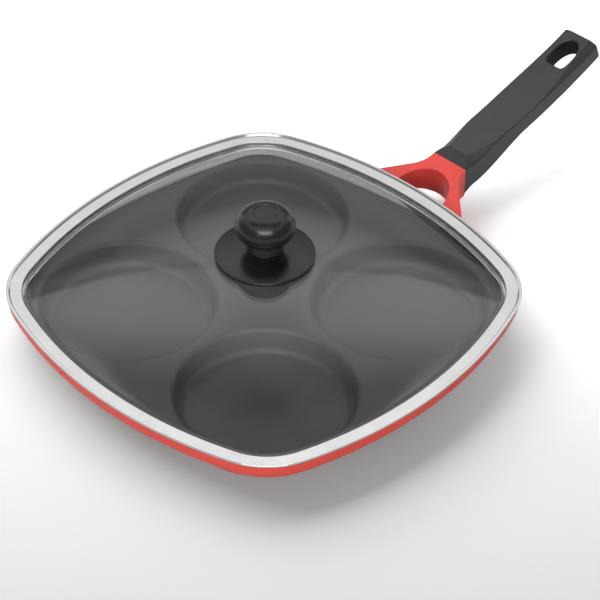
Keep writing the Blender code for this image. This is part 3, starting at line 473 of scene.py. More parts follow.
lip_top = SEAT + LIP_THICKNESS
lip_in = OVERHANG - LIP_WIDTH
band_top = CHANNEL_CEILING + STEEL
strip_corners = [
    (OVERHANG, SEAT, 0.6),
    (OVERHANG, lip_top, 0.6),
    (lip_in, lip_top, 0.15),
    (lip_in - STEP_WIDTH, band_top, 0.2),
    (STRIP_IN, band_top, 0.25),
    (STRIP_IN, CHANNEL_CEILING, 0.05),
    (CHANNEL_OUT, CHANNEL_CEILING, 0),
    (CHANNEL_OUT, CHANNEL_FLOOR, 0),
    (STRIP_IN + STEEL, CHANNEL_FLOOR, 0.3),
    (STRIP_IN, CHANNEL_FLOOR - STEEL, 0.2),
    (STRIP_IN - SKIRT_FLARE, SKIRT_BOTTOM, 0.1),
    (STRIP_IN - SKIRT_FLARE + STEEL, SKIRT_BOTTOM, 0.1),
    (STRIP_IN + STEEL, CHANNEL_FLOOR - STEEL, 0.3),
    (CHANNEL_OUT + STEEL, CHANNEL_FLOOR - STEEL, 0.3),
    (CHANNEL_OUT + STEEL, SEAT, 0.3),
]  # each with its radius in millimetres
strip_profile = rounded([(x, z, radius * MM) for x, z, radius in strip_corners])
lid_strip = swept("lid_strip", strip_profile, joined=True)
smooth(lid_strip)

# %% [markdown]
# ## The glass
#
# The lid is tempered glass with one smooth dome. Near the knob its level lines are circles, and
# towards the edge they turn into the pan's own outline, as a sheet does in a mould. The last few
# millimetres are a flat lip inside the strip, and a hole in the middle takes the knob's screw.

# %% Press the dome
GLASS_OUT = -5.95 * MM
GLASS_THICKNESS = 3.5 * MM
GLASS_LIP = 3.2 * MM
GLASS_EDGE_TOP = CHANNEL_CEILING - GAP
DOME_RISE = 26.0 * MM
DOME_POWER = 2.3
DOME_ROUND_SHARE = 0.3
GLASS_HOLE = 4.5 * MM
GLASS_BEVEL = 0.4 * MM

dome_edge = outline(GLASS_OUT - GLASS_LIP)
dome_mean = sum(point.length for point in dome_edge) / len(dome_edge)


def dome_height(radius):
    """Height of the glass's upper face at a distance from the middle."""
    return GLASS_EDGE_TOP + DOME_RISE * (1 - (radius / dome_mean) ** DOME_POWER)


def dome_loop(share, drop):
    """One level line of the dome, lowered by drop."""
    blend = max(0.0, (share - DOME_ROUND_SHARE) / (1 - DOME_ROUND_SHARE))
    z = dome_height(share * dome_mean) - drop
    loop = []
    for point in dome_edge:
        radius = share * (blend * point.length + (1 - blend) * dome_mean)
        x, y = point.normalized() * radius
        loop.append((CENTRE.x + x, y, z))
    return loop


hole_share = GLASS_HOLE / dome_mean
shares = spread(hole_share, 0.985, 26)
upper = [dome_loop(share, 0) for share in shares]
lower = [dome_loop(share, GLASS_THICKNESS) for share in reversed(shares)]
glass_under = GLASS_EDGE_TOP - GLASS_THICKNESS
lip = [
    (GLASS_OUT - GLASS_LIP - 0.4 * MM, GLASS_EDGE_TOP),
    (GLASS_OUT - GLASS_BEVEL, GLASS_EDGE_TOP),
    (GLASS_OUT, GLASS_EDGE_TOP - GLASS_BEVEL),
    (GLASS_OUT, glass_under + GLASS_BEVEL),
    (GLASS_OUT - GLASS_BEVEL, glass_under),
    (GLASS_OUT - GLASS_LIP - 1.2 * MM, glass_under),
]
lid_dome = skin("lid_dome", upper + [ring(*point) for point in lip] + lower, joined=True)
smooth(lid_dome, 40)
print("the dome's top is at", round(dome_height(0) / MM, 1), "mm")

# %% [markdown]
# A grey silicone bead keeps the glass from ringing against the steel: a plain band with rounded
# edges, made with the same loops.

# %% Lay the bead
SEAL_OUT = CHANNEL_OUT - GAP
SEAL_IN = SEAL_OUT - 0.5 * MM
SEAL_LOW = CHANNEL_FLOOR + GAP
SEAL_HIGH = CHANNEL_CEILING - GAP
bead_corners = [
    (x, z, 0.2 * MM) for x, z in
    ((SEAL_OUT, SEAL_LOW), (SEAL_OUT, SEAL_HIGH), (SEAL_IN, SEAL_HIGH), (SEAL_IN, SEAL_LOW))
]
bead = swept("seal_bead", rounded(bead_corners, 3), joined=True)
smooth(bead)

# %% [markdown]
# ## The knob and its disc
#
# Both are glossy black phenolic and both are lathe work. The disc is a thin crowned plate that
# mirrors the knob. The knob has a dished top, a full shoulder, a widest line rather low, a
# tucked-in underside and a short waisted stem on a foot.

# %% Turn the disc and the knob
DISC_RADIUS = 28.7 * MM
DISC_THICKNESS = 2.0 * MM
DISC_CROWN = 3.2 * MM
KNOB_SCREW_RADIUS = 2.0 * MM
KNOB_BORE = KNOB_SCREW_RADIUS + GAP


def disc_height(radius):
    """Height of the disc's upper face."""
    rim = dome_height(DISC_RADIUS) + GAP + DISC_THICKNESS
    return rim + DISC_CROWN * (1 - (radius / DISC_RADIUS) ** 2)


disc_upper = [(r, disc_height(r), 0) for r in spread(KNOB_BORE, DISC_RADIUS, 14)[:-1]]
disc_corners = disc_upper + [
    (DISC_RADIUS, disc_height(DISC_RADIUS), 0.9 * MM),
    (DISC_RADIUS, disc_height(DISC_RADIUS) - DISC_THICKNESS, 0.6 * MM),
] + [(r, z - DISC_THICKNESS, 0) for r, z, _ in reversed(disc_upper)]
knob_plate = spun("knob_plate", rounded(disc_corners, 5), 160)
smooth(knob_plate)

KNOB_HEIGHT = 24.9 * MM
KNOB_RADIUS = 17.1 * MM
STEM_RADIUS = 9.3 * MM
FOOT_RADIUS = 10.4 * MM
DISH_RADIUS = 7.3 * MM
DISH_DEPTH = 0.7 * MM
UNDER_RADIUS = 11.0 * MM
UNDER_DROP = 6.6 * MM
INSERT_RADIUS = 3.8 * MM
foot = disc_height(0) + GAP
top = foot + KNOB_HEIGHT
belt = foot + 15.0 * MM  # the widest line
waist = foot + 5.4 * MM
pocket_top = foot + GAP + 13.0 * MM + GAP
shoulder = [
    (DISH_RADIUS + (KNOB_RADIUS - DISH_RADIUS) * math.sin(turn), belt + (top - belt) * math.cos(turn), 0)
    for turn in map(math.radians, spread(8, 90, 16))
]
underside = [
    (UNDER_RADIUS + (KNOB_RADIUS - UNDER_RADIUS) * math.cos(turn), belt - UNDER_DROP * math.sin(turn), 0)
    for turn in map(math.radians, spread(8, 90, 12))
]
foot_edge = disc_height(FOOT_RADIUS) + GAP
knob_corners = [
    (0, top - DISH_DEPTH, 0),
    (DISH_RADIUS - DISH_DEPTH, top - DISH_DEPTH, 0.8 * MM),
    (DISH_RADIUS, top, 0.5 * MM),
    *shoulder,
    *underside,
    (STEM_RADIUS, waist, 1.5 * MM),
    (FOOT_RADIUS, foot_edge + 0.9 * MM, 0.4 * MM),
    (FOOT_RADIUS, foot_edge, 0.2 * MM),
    (INSERT_RADIUS + GAP, foot, 0),
    (INSERT_RADIUS + GAP, pocket_top, 0),
    (0, pocket_top, 0),
]
knob_bulb = spun("knob_bulb", rounded(knob_corners, 5), 128)
smooth(knob_bulb)

# %% [markdown]
# ## The yoke
#
# The red yoke is one casting: two horns spring from the pan's side, run round a thumb hole and
# join in a flat face against the grip. Seen from above, each horn's outer side is straight and
# then turns along the handle in a wide round. The plan is extruded, room for the pan's wall and
# the hole are cut away, and only then are the long edges bevelled, so that the bevel follows
# the cuts.

# %% Cast the yoke
LID_HALF_WIDTH = PAN_HALF_WIDTH + OVERHANG
YOKE_START = CENTRE.x + LID_HALF_WIDTH + GAP
YOKE_LENGTH = 30.0 * MM
JOINT = YOKE_START + YOKE_LENGTH
JOINT_HALF_WIDTH = 12.7 * MM
HORN_ANGLE = 46.7  # degrees
HORN_ROUND = 16.7 * MM
THUMB_RADIUS = 17.2 * MM
THUMB_X = CENTRE.x + PAN_HALF_WIDTH + 4.5 * MM
YOKE_BEVEL = 0.7 * MM
YOKE_TUCK = 3.0 * MM  # how far it reaches in under the wall
YOKE_TOP_START = PLATE_TOP + 3.7 * MM
YOKE_TOP_RISE = 10.0 * MM
YOKE_UNDER_START = PLATE_TOP - 5.5 * MM
YOKE_UNDER_DROP = 1.0 * MM


def yoke_top(x):
    return YOKE_TOP_START + YOKE_TOP_RISE * (x - YOKE_START) / YOKE_LENGTH


def yoke_bottom(x):
    return YOKE_UNDER_START - YOKE_UNDER_DROP * (x - YOKE_START) / YOKE_LENGTH


inner_x = CENTRE.x + PAN_HALF_WIDTH - 2 * EDGE_ROUND
turn = arc((JOINT, JOINT_HALF_WIDTH + HORN_ROUND), HORN_ROUND, -90 - HORN_ANGLE, -90, 18)
lead = (turn[0][0] - inner_x) * math.tan(math.radians(HORN_ANGLE))
half_plan = [(inner_x, turn[0][1] + lead), *turn]
yoke_plan = half_plan + [(x, -y) for x, y in reversed(half_plan)]
yoke_shell = skin("yoke_shell", [
    [(x, y, height(x)) for x, y in yoke_plan] for height in (yoke_bottom, yoke_top)
])

tuck_radius = EDGE_ROUND + GAP
tuck_turn = math.degrees(math.acos((-YOKE_TUCK - outer_round[0]) / tuck_radius))
wall_room = [(GAP, 2 * RIM_TOP), (GAP, RIM_TOP)]
wall_room += arc(outer_round, tuck_radius, -WALL_LEAN, -tuck_turn, 12) + [(-YOKE_TUCK, 0)]
carve(yoke_shell, swept("wall_room", wall_room))
carve(yoke_shell, rod("thumb_hole", THUMB_RADIUS, 0, 2 * RIM_TOP, Vector((THUMB_X, 0, 0)), 128))
print("the thumb hole is", round(2 * THUMB_RADIUS / MM, 1), "mm wide")

# %% Bevel its long edges
ON_FACE = 0.02 * MM
pick(yoke_shell)
bpy.ops.object.mode_set(mode="EDIT")
bpy.ops.mesh.select_all(action="DESELECT")
shape = bmesh.from_edit_mesh(yoke_shell.data)
for edge in shape.edges:
    middle = (edge.verts[0].co + edge.verts[1].co) / 2
    on_top = abs(middle.z - yoke_top(middle.x)) < ON_FACE
    below = abs(middle.z - yoke_bottom(middle.x)) < ON_FACE
    clear_of_joint = middle.x < JOINT - 0.1 * MM
    sharp = edge.is_manifold and edge.calc_face_angle() > math.radians(40)
    edge.select = (on_top or below) and clear_of_joint and sharp
bmesh.update_edit_mesh(yoke_shell.data)
bpy.ops.mesh.bevel(offset=YOKE_BEVEL, segments=4, profile=0.6)
close_up(yoke_shell)
print("the yoke's joint face is", round(2 * JOINT_HALF_WIDTH / MM, 1), "mm wide")

# %% [markdown]
# ## The grip
#
# The grip is a long loft. Its top line climbs ever more steeply, its sections lean back towards
# the end, and the flat top narrows at the nose and again beside the hang hole, so that a sloping
# shoulder opens there. At the far end a few smaller and smaller loops round it off.

# %% Describe the grip's lines
GRIP_FRONT = JOINT + GAP
GRIP_TIP = CENTRE.x + 286.0 * MM
JOINT_TOP = yoke_top(JOINT)
JOINT_BOTTOM = yoke_bottom(JOINT)
START_SLOPE = 0.125
END_SLOPE = 0.394
END_LEAN = math.atan(END_SLOPE)
END_THICKNESS = 14.6 * MM
GRIP_END = GRIP_TIP - END_THICKNESS * math.sin(END_LEAN)
GRIP_LENGTH = GRIP_END - GRIP_FRONT
NOSE_LENGTH = 7.3 * MM
NOSE_RISE = 4.0 * MM
NOSE_FLAT = 7.5 * MM  # half the width of the flat top there
END_FLAT = 7.8 * MM
BELLY_AT, BELLY_DEPTH = 10 * MM, 21.0 * MM
WAIST_AT, WAIST_DEPTH = 54 * MM, 13.0 * MM
WIDEST_AT, BULGE = 66 * MM, 0.4 * MM


def ease(value, low, high):
    """0 below low, 1 above high and a smooth rise between them."""
    t = min(1.0, max(0.0, (value - low) / (high - low)))
    return t * t * (3 - 2 * t)


def grip_top(x):
    """Height of the grip's top line."""
    nose_x = GRIP_FRONT + NOSE_LENGTH
    if x < nose_x:
        return JOINT_TOP + NOSE_RISE * (x - GRIP_FRONT) / NOSE_LENGTH
    along = x - nose_x
    steepening = (END_SLOPE - START_SLOPE) / (2 * (GRIP_END - nose_x))
    return JOINT_TOP + NOSE_RISE + START_SLOPE * along + steepening * along**2


def grip_depth(along):
    """Thickness below the top line: full at the belly, thin at the waist, fuller at the end."""
    front = JOINT_TOP - JOINT_BOTTOM
    depth = front + ease(along, 0, BELLY_AT) * (BELLY_DEPTH - front)
    depth += ease(along, BELLY_AT, WAIST_AT) * (WAIST_DEPTH - BELLY_DEPTH)
    return depth + ease(along, WAIST_AT, GRIP_LENGTH) * (END_THICKNESS - WAIST_DEPTH)


def grip_section(along):
    """Corners of a section as (across, below the top, radius)."""
    taper = ease(along, WIDEST_AT, GRIP_LENGTH)
    side = JOINT_HALF_WIDTH + (ease(along, 0, WIDEST_AT) - taper) * BULGE
    if along < NOSE_LENGTH:
        share = along / NOSE_LENGTH
        flat = side + share * (NOSE_FLAT - side)
        shoulder = (0.4 + share * 3.6) * MM
    else:
        widen = ease(along, NOSE_LENGTH, 32 * MM)
        full = side - 0.4 * MM
        flat = NOSE_FLAT + widen * (full - NOSE_FLAT) + taper * (END_FLAT - full)
        shoulder = (4.0 - widen * 3.2 + taper * 0.8) * MM
    depth = grip_depth(along)
    half = [
        (flat, 0, (0.5 + 1.0 * taper) * MM),
        (side, shoulder, (0.9 + 3.0 * max(taper, 1 - ease(along, 0, 30 * MM))) * MM),
        (side, depth, 3.4 * MM),
    ]
    return half + [(-y, d, r) for y, d, r in reversed(half)]


def grip_loop(x, lean, shrink=0.0):
    """A section at x that leans back, drawn in towards its middle all round."""
    along = x - GRIP_FRONT
    middle = grip_depth(along) / 2
    half_width = max(y for y, _, _ in grip_section(along))
    loop = []
    for y, d in rounded(grip_section(along), 5):
        d = middle + (d - middle) * (1 - shrink / middle)
        y *= 1 - shrink / half_width
        loop.append((x + math.sin(lean) * d, y, grip_top(x) - math.cos(lean) * d))
    return loop


print("the grip is", round(GRIP_LENGTH / MM, 1), "mm long on top")

# %% Loft the grip
stations = [0, 0.4 * MM] + [NOSE_LENGTH + shift * MM for shift in (-0.6, -0.2, 0.2, 0.6, 1.4)]
stations += spread(stations[-1], GRIP_LENGTH - 0.8 * MM, 60)[1:]
grip_loops = [
    grip_loop(GRIP_FRONT + along, END_LEAN * ease(along, 0, GRIP_LENGTH)) for along in stations
]
for along, shrink in ((0.5, 0.04), (0.2, 0.16), (0.05, 0.35), (0.0, 0.6)):
    grip_loops.append(grip_loop(GRIP_END - along * MM, END_LEAN, shrink * MM))
grip_shell = skin("grip_shell", grip_loops)
print("the loft has", len(grip_loops), "sections")

# %% Cut the hang hole and round its mouth
HANG_LENGTH = 21.8 * MM
HANG_HALF = 7.2 * MM
HANG_REACH = 13.5 * MM
HANG_POWER = 2.3
HANG_CORNER = 2.0 * MM
HANG_MARGIN = 4.6 * MM
far_x = GRIP_END - HANG_MARGIN
near_x = far_x - HANG_LENGTH
middle_x = (far_x + near_x) / 2
hang_tilt = math.atan((grip_top(far_x) - grip_top(near_x)) / HANG_LENGTH)


def hang_side(x, grow):
    """Half width of the hang hole at a distance from its widest line."""
    share = min(1.0, abs(x) / (HANG_REACH + grow))
    return (HANG_HALF + grow) * (1 - share**HANG_POWER) ** (1 / HANG_POWER)


def hang_plan(grow):
    """The hang hole from above: bowed sides, a round far end and a straight near end."""
    far = HANG_REACH + grow
    near = HANG_REACH - HANG_LENGTH - grow
    start = math.acos((near + HANG_CORNER) / far)
    half = []
    for k in range(5, 0, -1):
        turn = math.radians(15 * k)
        x = near + HANG_CORNER * (1 - math.sin(turn))
        half.append((x, hang_side(x, grow) - HANG_CORNER * (1 - math.cos(turn))))
    for k in range(30):
        x = far * math.cos(start * (1 - k / 30))
        half.append((x, hang_side(x, grow)))
    whole = [*half, (far, 0), *((x, -y) for x, y in reversed(half))]
    widest = HANG_LENGTH / 2 - HANG_REACH
    return [(widest + x, y) for x, y in whole]


thickness = grip_depth(middle_x - GRIP_FRONT)
mouth = 0.9 * MM
hang_levels = [(thickness, mouth), (0.15 * MM, mouth)]
hang_levels += [(mouth * (math.cos(t) - 1), mouth * (1 - math.sin(t)))
                for t in map(math.radians, (15, 35, 55, 75, 90))]
hang_levels += [(2.5 * MM - thickness, 0), (-thickness, mouth), (-2 * thickness, mouth)]
hang_hole = skin("hang_hole", [[(x, y, z) for x, y in hang_plan(grow)] for z, grow in hang_levels])
grip_grey = bpy.data.materials.new("matt_phenolic")
# The hang hole's inner wall takes a near black, dull copy of the phenolic: painted shade for the shadow
# inside the hole.
hole_painted_shade = bpy.data.materials.new("painted_shade_phenolic")
for part in (grip_shell, hang_hole):
    part.data.materials.append(grip_grey)
    part.data.materials.append(hole_painted_shade)
# Faces below the mouth's round get the painted shade; the round itself keeps the grip's finish.
for face in hang_hole.data.polygons:
    face.material_index = 1 if face.center.z < -1.2 * mouth else 0
placed(hang_hole, Vector((middle_x, 0, grip_top(middle_x))), "Y", -hang_tilt)
carve(grip_shell, hang_hole)
print("the hang hole climbs", round(math.degrees(hang_tilt), 1), "degrees")

# %% [markdown]
# ## What holds the handle together
#
# A spigot on the yoke goes into the grip, and a long screw from the hang hole draws the two
# together. Its axis climbs with the grip. Two short screws from below fix the yoke to the lugs
# on the pan. All this hardly shows until the pan is turned over.

# %% Cut the joint's hidden shapes
AXIS_Z = (JOINT_TOP + JOINT_BOTTOM) / 2 - 1.0 * MM
aim_z = grip_top(near_x) - grip_depth(near_x - GRIP_FRONT) / 2
SCREW_CLIMB = math.atan2(aim_z - AXIS_Z, near_x - JOINT)
axis_start = Vector((JOINT, 0, AXIS_Z))
SPIGOT_LENGTH = 11.0 * MM
SPIGOT_WIDTH = 13.0 * MM
SPIGOT_HEIGHT = 11.0 * MM
GRIP_SCREW_RADIUS = 2.5 * MM
GRIP_HEAD_RADIUS = 3.8 * MM
POCKET = 9.0 * MM
INSERT_LENGTH = 12.0 * MM
WASHER_ROOM = 3.6 * MM
WASHER_SINK = 0.9 * MM


def on_axis(piece):
    """Moves a piece that was made along +Z from the origin on to the long screw's axis."""
    return placed(piece, axis_start, "Y", math.pi / 2 - SCREW_CLIMB)


def axis_box(name, low, high, grow=0.0):
    """A box round that axis, as thick as the spigot and a little more."""
    x, y = SPIGOT_HEIGHT / 2 + grow, SPIGOT_WIDTH / 2 + grow
    return on_axis(box_piece(name, (-x, -y, low), (x, y, high)))


carve(yoke_shell, axis_box("spigot", -SPIGOT_LENGTH / 2, SPIGOT_LENGTH), "UNION")
insert_top = SPIGOT_LENGTH - GAP
insert_low = insert_top - INSERT_LENGTH
carve(yoke_shell, on_axis(rod("insert_room", INSERT_RADIUS + GAP, insert_low - GAP, 2 * SPIGOT_LENGTH)))
carve(grip_shell, axis_box("socket", -SPIGOT_LENGTH, SPIGOT_LENGTH + GAP, GAP))
bore_end = (near_x - JOINT) / math.cos(SCREW_CLIMB)
head_seat = bore_end - POCKET
carve(grip_shell, on_axis(rod("bore", GRIP_SCREW_RADIUS + GAP, 0, bore_end)))
carve(grip_shell, on_axis(rod("pocket", GRIP_HEAD_RADIUS + GAP, head_seat, bore_end + HANG_HALF)))
smooth(grip_shell, 28)

sink_top = yoke_bottom(lug_screw_x) + WASHER_SINK
for middle in lug_middles:
    carve(yoke_shell, lug_box("lug_room", middle, inner_x, LUG_BOTTOM, GAP))
    carve(yoke_shell, rod("screw_room", YOKE_SCREW_RADIUS + GAP, 0, LUG_BOTTOM, middle))
    carve(yoke_shell, rod("washer_room", WASHER_ROOM, 0, sink_top, middle, 64))
smooth(yoke_shell, 28)

# %% [markdown]
# ## Screws, washers, gaskets and inserts
#
# All of them are turned. The upright ones read their sizes from the frame's own boxes, so each
# stands exactly where its solid does. The three on the long screw's axis are made upright and
# then moved on to it. A screw has a domed head with a cross recess and a chamfered tip.

# %% Turn the small round parts
small = {}


def bush(node, bore, outer, low, high, edge, middle=ORIGIN):
    """A washer, gasket or insert with rounded edges."""
    profile = [(bore, low, edge), (outer, low, edge), (outer, high, edge), (bore, high, edge)]
    return spun(f"turned_{node}", rounded(profile, 3), 72, middle)


def screw(node, radius, length, head_radius, head_height, middle=ORIGIN, seat=0.0):
    """A cross-recessed screw, head down, with its seat at a height and its shank upwards."""
    profile = [(0, seat - head_height), (head_radius * 0.45, seat - head_height * 0.97)]
    profile += [
        (head_radius * math.cos(t), seat - head_height * 0.25 - head_height * 0.7 * math.sin(t))
        for t in map(math.radians, (52, 35, 18, 0))
    ]
    profile += [(head_radius, seat), (radius, seat), (radius, seat + length - radius / 3),
                (radius * 0.6, seat + length), (0, seat + length)]
    made = spun(f"turned_{node}", profile, 64, middle)
    reach, blade = head_radius * 0.5, head_radius * 0.13
    for x, y in ((reach, blade), (blade, reach)):
        carve(made, box_piece("recess", (middle.x - x, middle.y - y, seat - 2 * head_height),
                              (middle.x + x, middle.y + y, seat - head_height * 0.45)))
    return made


def boxed_bush(node, bore, edge, middle=CENTRE):
    """A bush in the box of its solid."""
    low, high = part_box(node)
    small[node] = bush(node, bore, (high.x - low.x) / 2, low.z, high.z, edge, middle)


def boxed_screw(node, radius, head_height, middle=CENTRE):
    """A screw in the box of its solid."""
    low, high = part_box(node)
    small[node] = screw(node, radius, high.z - low.z - head_height, (high.x - low.x) / 2,
                        head_height, middle, low.z + head_height)


for node in ("upper_gasket", "lower_gasket", "knob_washer", "knob_insert"):
    boxed_bush(node, KNOB_BORE, 0.25 * MM)
boxed_screw("knob_screw", KNOB_SCREW_RADIUS, 2.8 * MM)
for word, middle in zip(("right", "left"), lug_middles):
    boxed_bush(f"yoke_washer_{word}", YOKE_SCREW_RADIUS + GAP, 0.15 * MM, middle)
    boxed_screw(f"yoke_screw_{word}", YOKE_SCREW_RADIUS, 1.6 * MM, middle)

bore = GRIP_SCREW_RADIUS + GAP
washer_low = head_seat + GAP
washer_high = washer_low + 1.0 * MM
under_head = washer_high + GAP
small["grip_washer"] = on_axis(
    bush("grip_washer", bore, GRIP_HEAD_RADIUS, washer_low, washer_high, 0.2 * MM))
small["yoke_insert"] = on_axis(
    bush("yoke_insert", bore, INSERT_RADIUS, insert_low, insert_top, 0.3 * MM))
long_screw = screw("grip_screw", GRIP_SCREW_RADIUS, under_head - insert_top + 9.0 * MM,
                   GRIP_HEAD_RADIUS, 3.5 * MM)
small["grip_screw"] = on_axis(placed(long_screw, Vector((0, 0, under_head)), "X", math.pi))
for part in small.values():
    smooth(part)
print(len(small), "small turned parts")

# %% [markdown]
# ## Finishes
#
# Enamel has a faint orange peel, a nonstick coat has mineral specks and a sandy surface, rolled
# steel has slow smears, and moulded phenolic has a fine grain. Each finish is a Principled
# shader with plain values, and noise in object space, sized in millimetres, for what varies.

# %% Tools for the finishes
def tune(node, **values):
    """Sets a node's inputs or properties by name."""
    for key, value in values.items():
        if hasattr(node, key):
            setattr(node, key, value)
        else:
            node.inputs[key.replace("_", " ")].default_value = value
    return node


def add(tree, kind, **values):
    """A new node of a material or the world."""
    return tune(tree.nodes.new(f"ShaderNode{kind}"), **values)


def link(output, target):
    target.id_data.links.new(output, target)


def noise(tree, size, detail):
    """Noise whose spots are about size millimetres wide, in object space."""
    scale = add(tree, "Mapping", Scale=[1 / (size * MM)] * 3)
    spots = add(tree, "TexNoise", Scale=1.0, Detail=detail)
    link(add(tree, "TexCoord").outputs["Object"], scale.inputs["Vector"])
    link(scale.outputs["Vector"], spots.inputs["Vector"])
    return spots.outputs["Fac"]


def between(factor, low, high, start=0.3, stop=0.7):
    """Turns a factor into a value between low and high."""
    span = add(factor.id_data, "MapRange", From_Min=start, From_Max=stop, To_Min=low, To_Max=high)
    link(factor, span.inputs["Value"])
    return span.outputs["Result"]


def drifting(tree, low, high, size, detail):
    """A colour that drifts between two, over patches of a size."""
    ramp = add(tree, "ValToRGB")
    for stop, place, colour in zip(ramp.color_ramp.elements, (0.3, 0.7), (low, high)):
        stop.position = place
        stop.color = (*colour, 1)
    link(noise(tree, size, detail), ramp.inputs["Fac"])
    return ramp.outputs["Color"]


def mixed(factor, colour, other):
    """A colour that gives way to another as a factor rises."""
    mix = add(factor.id_data, "Mix", data_type="RGBA")
    link(factor, mix.inputs[0])
    link(colour, mix.inputs[6])
    mix.inputs[7].default_value = (*other, 1)
    return mix.outputs[2]


# %% Tools that work on a shader
def shader_of(material, colour, roughness, metallic=0.0):
    """The material's Principled shader, with its plain values set."""
    material.use_nodes = True
    shader = material.node_tree.nodes["Principled BSDF"]
    print("finish", material.name)
    return tune(shader, Base_Color=(*colour, 1), Roughness=roughness, Metallic=metallic)


def bumped(shader, size, detail, depth, under=None):
    """Bumps the surface with noise of a size, over a depth in millimetres."""
    bump = add(shader.id_data, "Bump", Strength=1.0, Distance=depth * MM)
    link(noise(shader.id_data, size, detail), bump.inputs["Height"])
    if under:
        link(under.outputs["Normal"], bump.inputs["Normal"])
    link(bump.outputs["Normal"], shader.inputs["Normal"])
    return bump


def worn(shader, low, high, size, detail):
    """Lets the roughness drift between two values, over patches of a size."""
    link(between(noise(shader.id_data, size, detail), low, high), shader.inputs["Roughness"])


def for_rays(kind, usual, other):
    """Shows one kind of ray another shader than the usual one."""
    tree = usual.id_data
    choose = add(tree, "MixShader")
    link(add(tree, "LightPath").outputs[kind], choose.inputs["Fac"])
    link(usual.outputs["BSDF"], choose.inputs[1])
    link(other.outputs["BSDF"], choose.inputs[2])
    link(choose.outputs["Shader"], tree.nodes["Material Output"].inputs["Surface"])


# %% [markdown]
# Red paint throws more red light on a white floor than the photograph shows. The body's enamel
# therefore looks a dull grey red to diffuse rays, which carry only that spill. The yoke keeps more
# of its red there, because the wall of its thumb hole is lit by its own colour. To glossy rays the
# enamel is grey, since the photograph shows no red in the glass.

# %% Red enamel for the body and for the yoke
MIRRORED_ENAMEL = (0.08, 0.078, 0.078)


def paint_enamel(material, deep, bright, roughness, spill):
    """Fired enamel: slow drifts of colour, a faint orange peel and a thin clear top."""
    shader = shader_of(material, bright, roughness)
    tree = shader.id_data
    rays = add(tree, "LightPath").outputs
    colour = mixed(rays["Is Diffuse Ray"], drifting(tree, deep, bright, 22, 3), spill)
    link(mixed(rays["Is Glossy Ray"], colour, MIRRORED_ENAMEL), shader.inputs["Base Color"])
    bumped(shader, 1.3, 2, 0.012)
    worn(shader, roughness - 0.05, roughness + 0.07, 9, 4)
    tune(shader, Coat_Weight=0.15, Coat_Roughness=0.2)


yoke_enamel = bpy.data.materials.new("yoke_enamel")
yoke_shell.data.materials.clear()
yoke_shell.data.materials.append(yoke_enamel)
paint_enamel(enamel, (0.84, 0.072, 0.048), (0.92, 0.084, 0.058), 0.4, (0.16, 0.10, 0.10))
paint_enamel(yoke_enamel, (0.75, 0.056, 0.046), (0.82, 0.064, 0.052), 0.42, (0.6, 0.05, 0.045))

# %% Nonstick coating
COAT_DARK = (0.022, 0.0205, 0.0202)
COAT_LIGHT = (0.030, 0.0282, 0.0277)
SPECK = (0.07, 0.066, 0.064)
SPECK_PITCH = 0.9 * MM
shader = shader_of(coating, COAT_LIGHT, 0.34)
tree = shader.id_data
cells = add(tree, "TexVoronoi", Scale=1 / SPECK_PITCH, feature="F1")
link(add(tree, "TexCoord").outputs["Object"], cells.inputs["Vector"])
speck_here = between(cells.outputs["Distance"], 1, 0, 0.10, 0.17)
cloud = drifting(tree, COAT_DARK, COAT_LIGHT, 14, 4)
link(mixed(speck_here, cloud, SPECK), shader.inputs["Base Color"])
bumped(shader, 0.5, 3, 0.001, bumped(shader, 3, 2, 0.003))
worn(shader, 0.31, 0.39, 0.5, 3)

# %% Clear glass
clear_glass = bpy.data.materials.new("clear_glass")
shader = shader_of(clear_glass, (0.985, 0.985, 0.985), 0.0)
tune(shader, Transmission_Weight=1.0, IOR=1.53)
bumped(shader, 45, 1, 0.12)
shade_free = add(shader.id_data, "BsdfTransparent", Color=(0.95, 0.95, 0.95, 1))
for_rays("Is Shadow Ray", shader, shade_free)

# %% [markdown]
# The other finishes are alike: a colour that drifts between a dark and a light one, a bump, and
# for some a roughness that varies too. Each line below gives the sizes in millimetres.

# %% Steel, silicone, phenolic, zinc and brass
def finish(material, colour, roughness, drift, bump, wear=None, metallic=0.0):
    """Drift is (dark, light, size, detail), bump (size, detail, depth) and wear, which is the
    roughness's own drift, (low, high, size, detail)."""
    shader = shader_of(material, colour, roughness, metallic)
    link(drifting(shader.id_data, *drift), shader.inputs["Base Color"])
    bumped(shader, *bump)
    if wear:
        worn(shader, *wear)
    return shader


strip_steel, silicone, knob_black, zinc, brass = map(
    bpy.data.materials.new, ("strip_steel", "silicone", "glossy_phenolic", "zinc_steel", "brass"))
finish(strip_steel, (0.78, 0.78, 0.775), 0.16, ((0.74, 0.74, 0.735), (0.80, 0.80, 0.795), 16, 3),
       (7, 1, 0.01), (0.12, 0.2, 6, 4), metallic=1.0)
finish(silicone, (0.6, 0.6, 0.6), 0.6, ((0.54, 0.54, 0.54), (0.64, 0.64, 0.64), 5, 2), (0.8, 2, 0.01))
finish(knob_black, (0.014, 0.0145, 0.016), 0.14, ((0.012, 0.0125, 0.014), (0.018, 0.0185, 0.02), 8, 4),
       (2.2, 2, 0.004), (0.2, 0.28, 4, 5))
finish(grip_grey, (0.034, 0.0345, 0.033), 0.36, ((0.030, 0.0305, 0.029), (0.038, 0.0385, 0.037), 12, 4),
       (0.45, 3, 0.006), (0.32, 0.42, 0.45, 3))
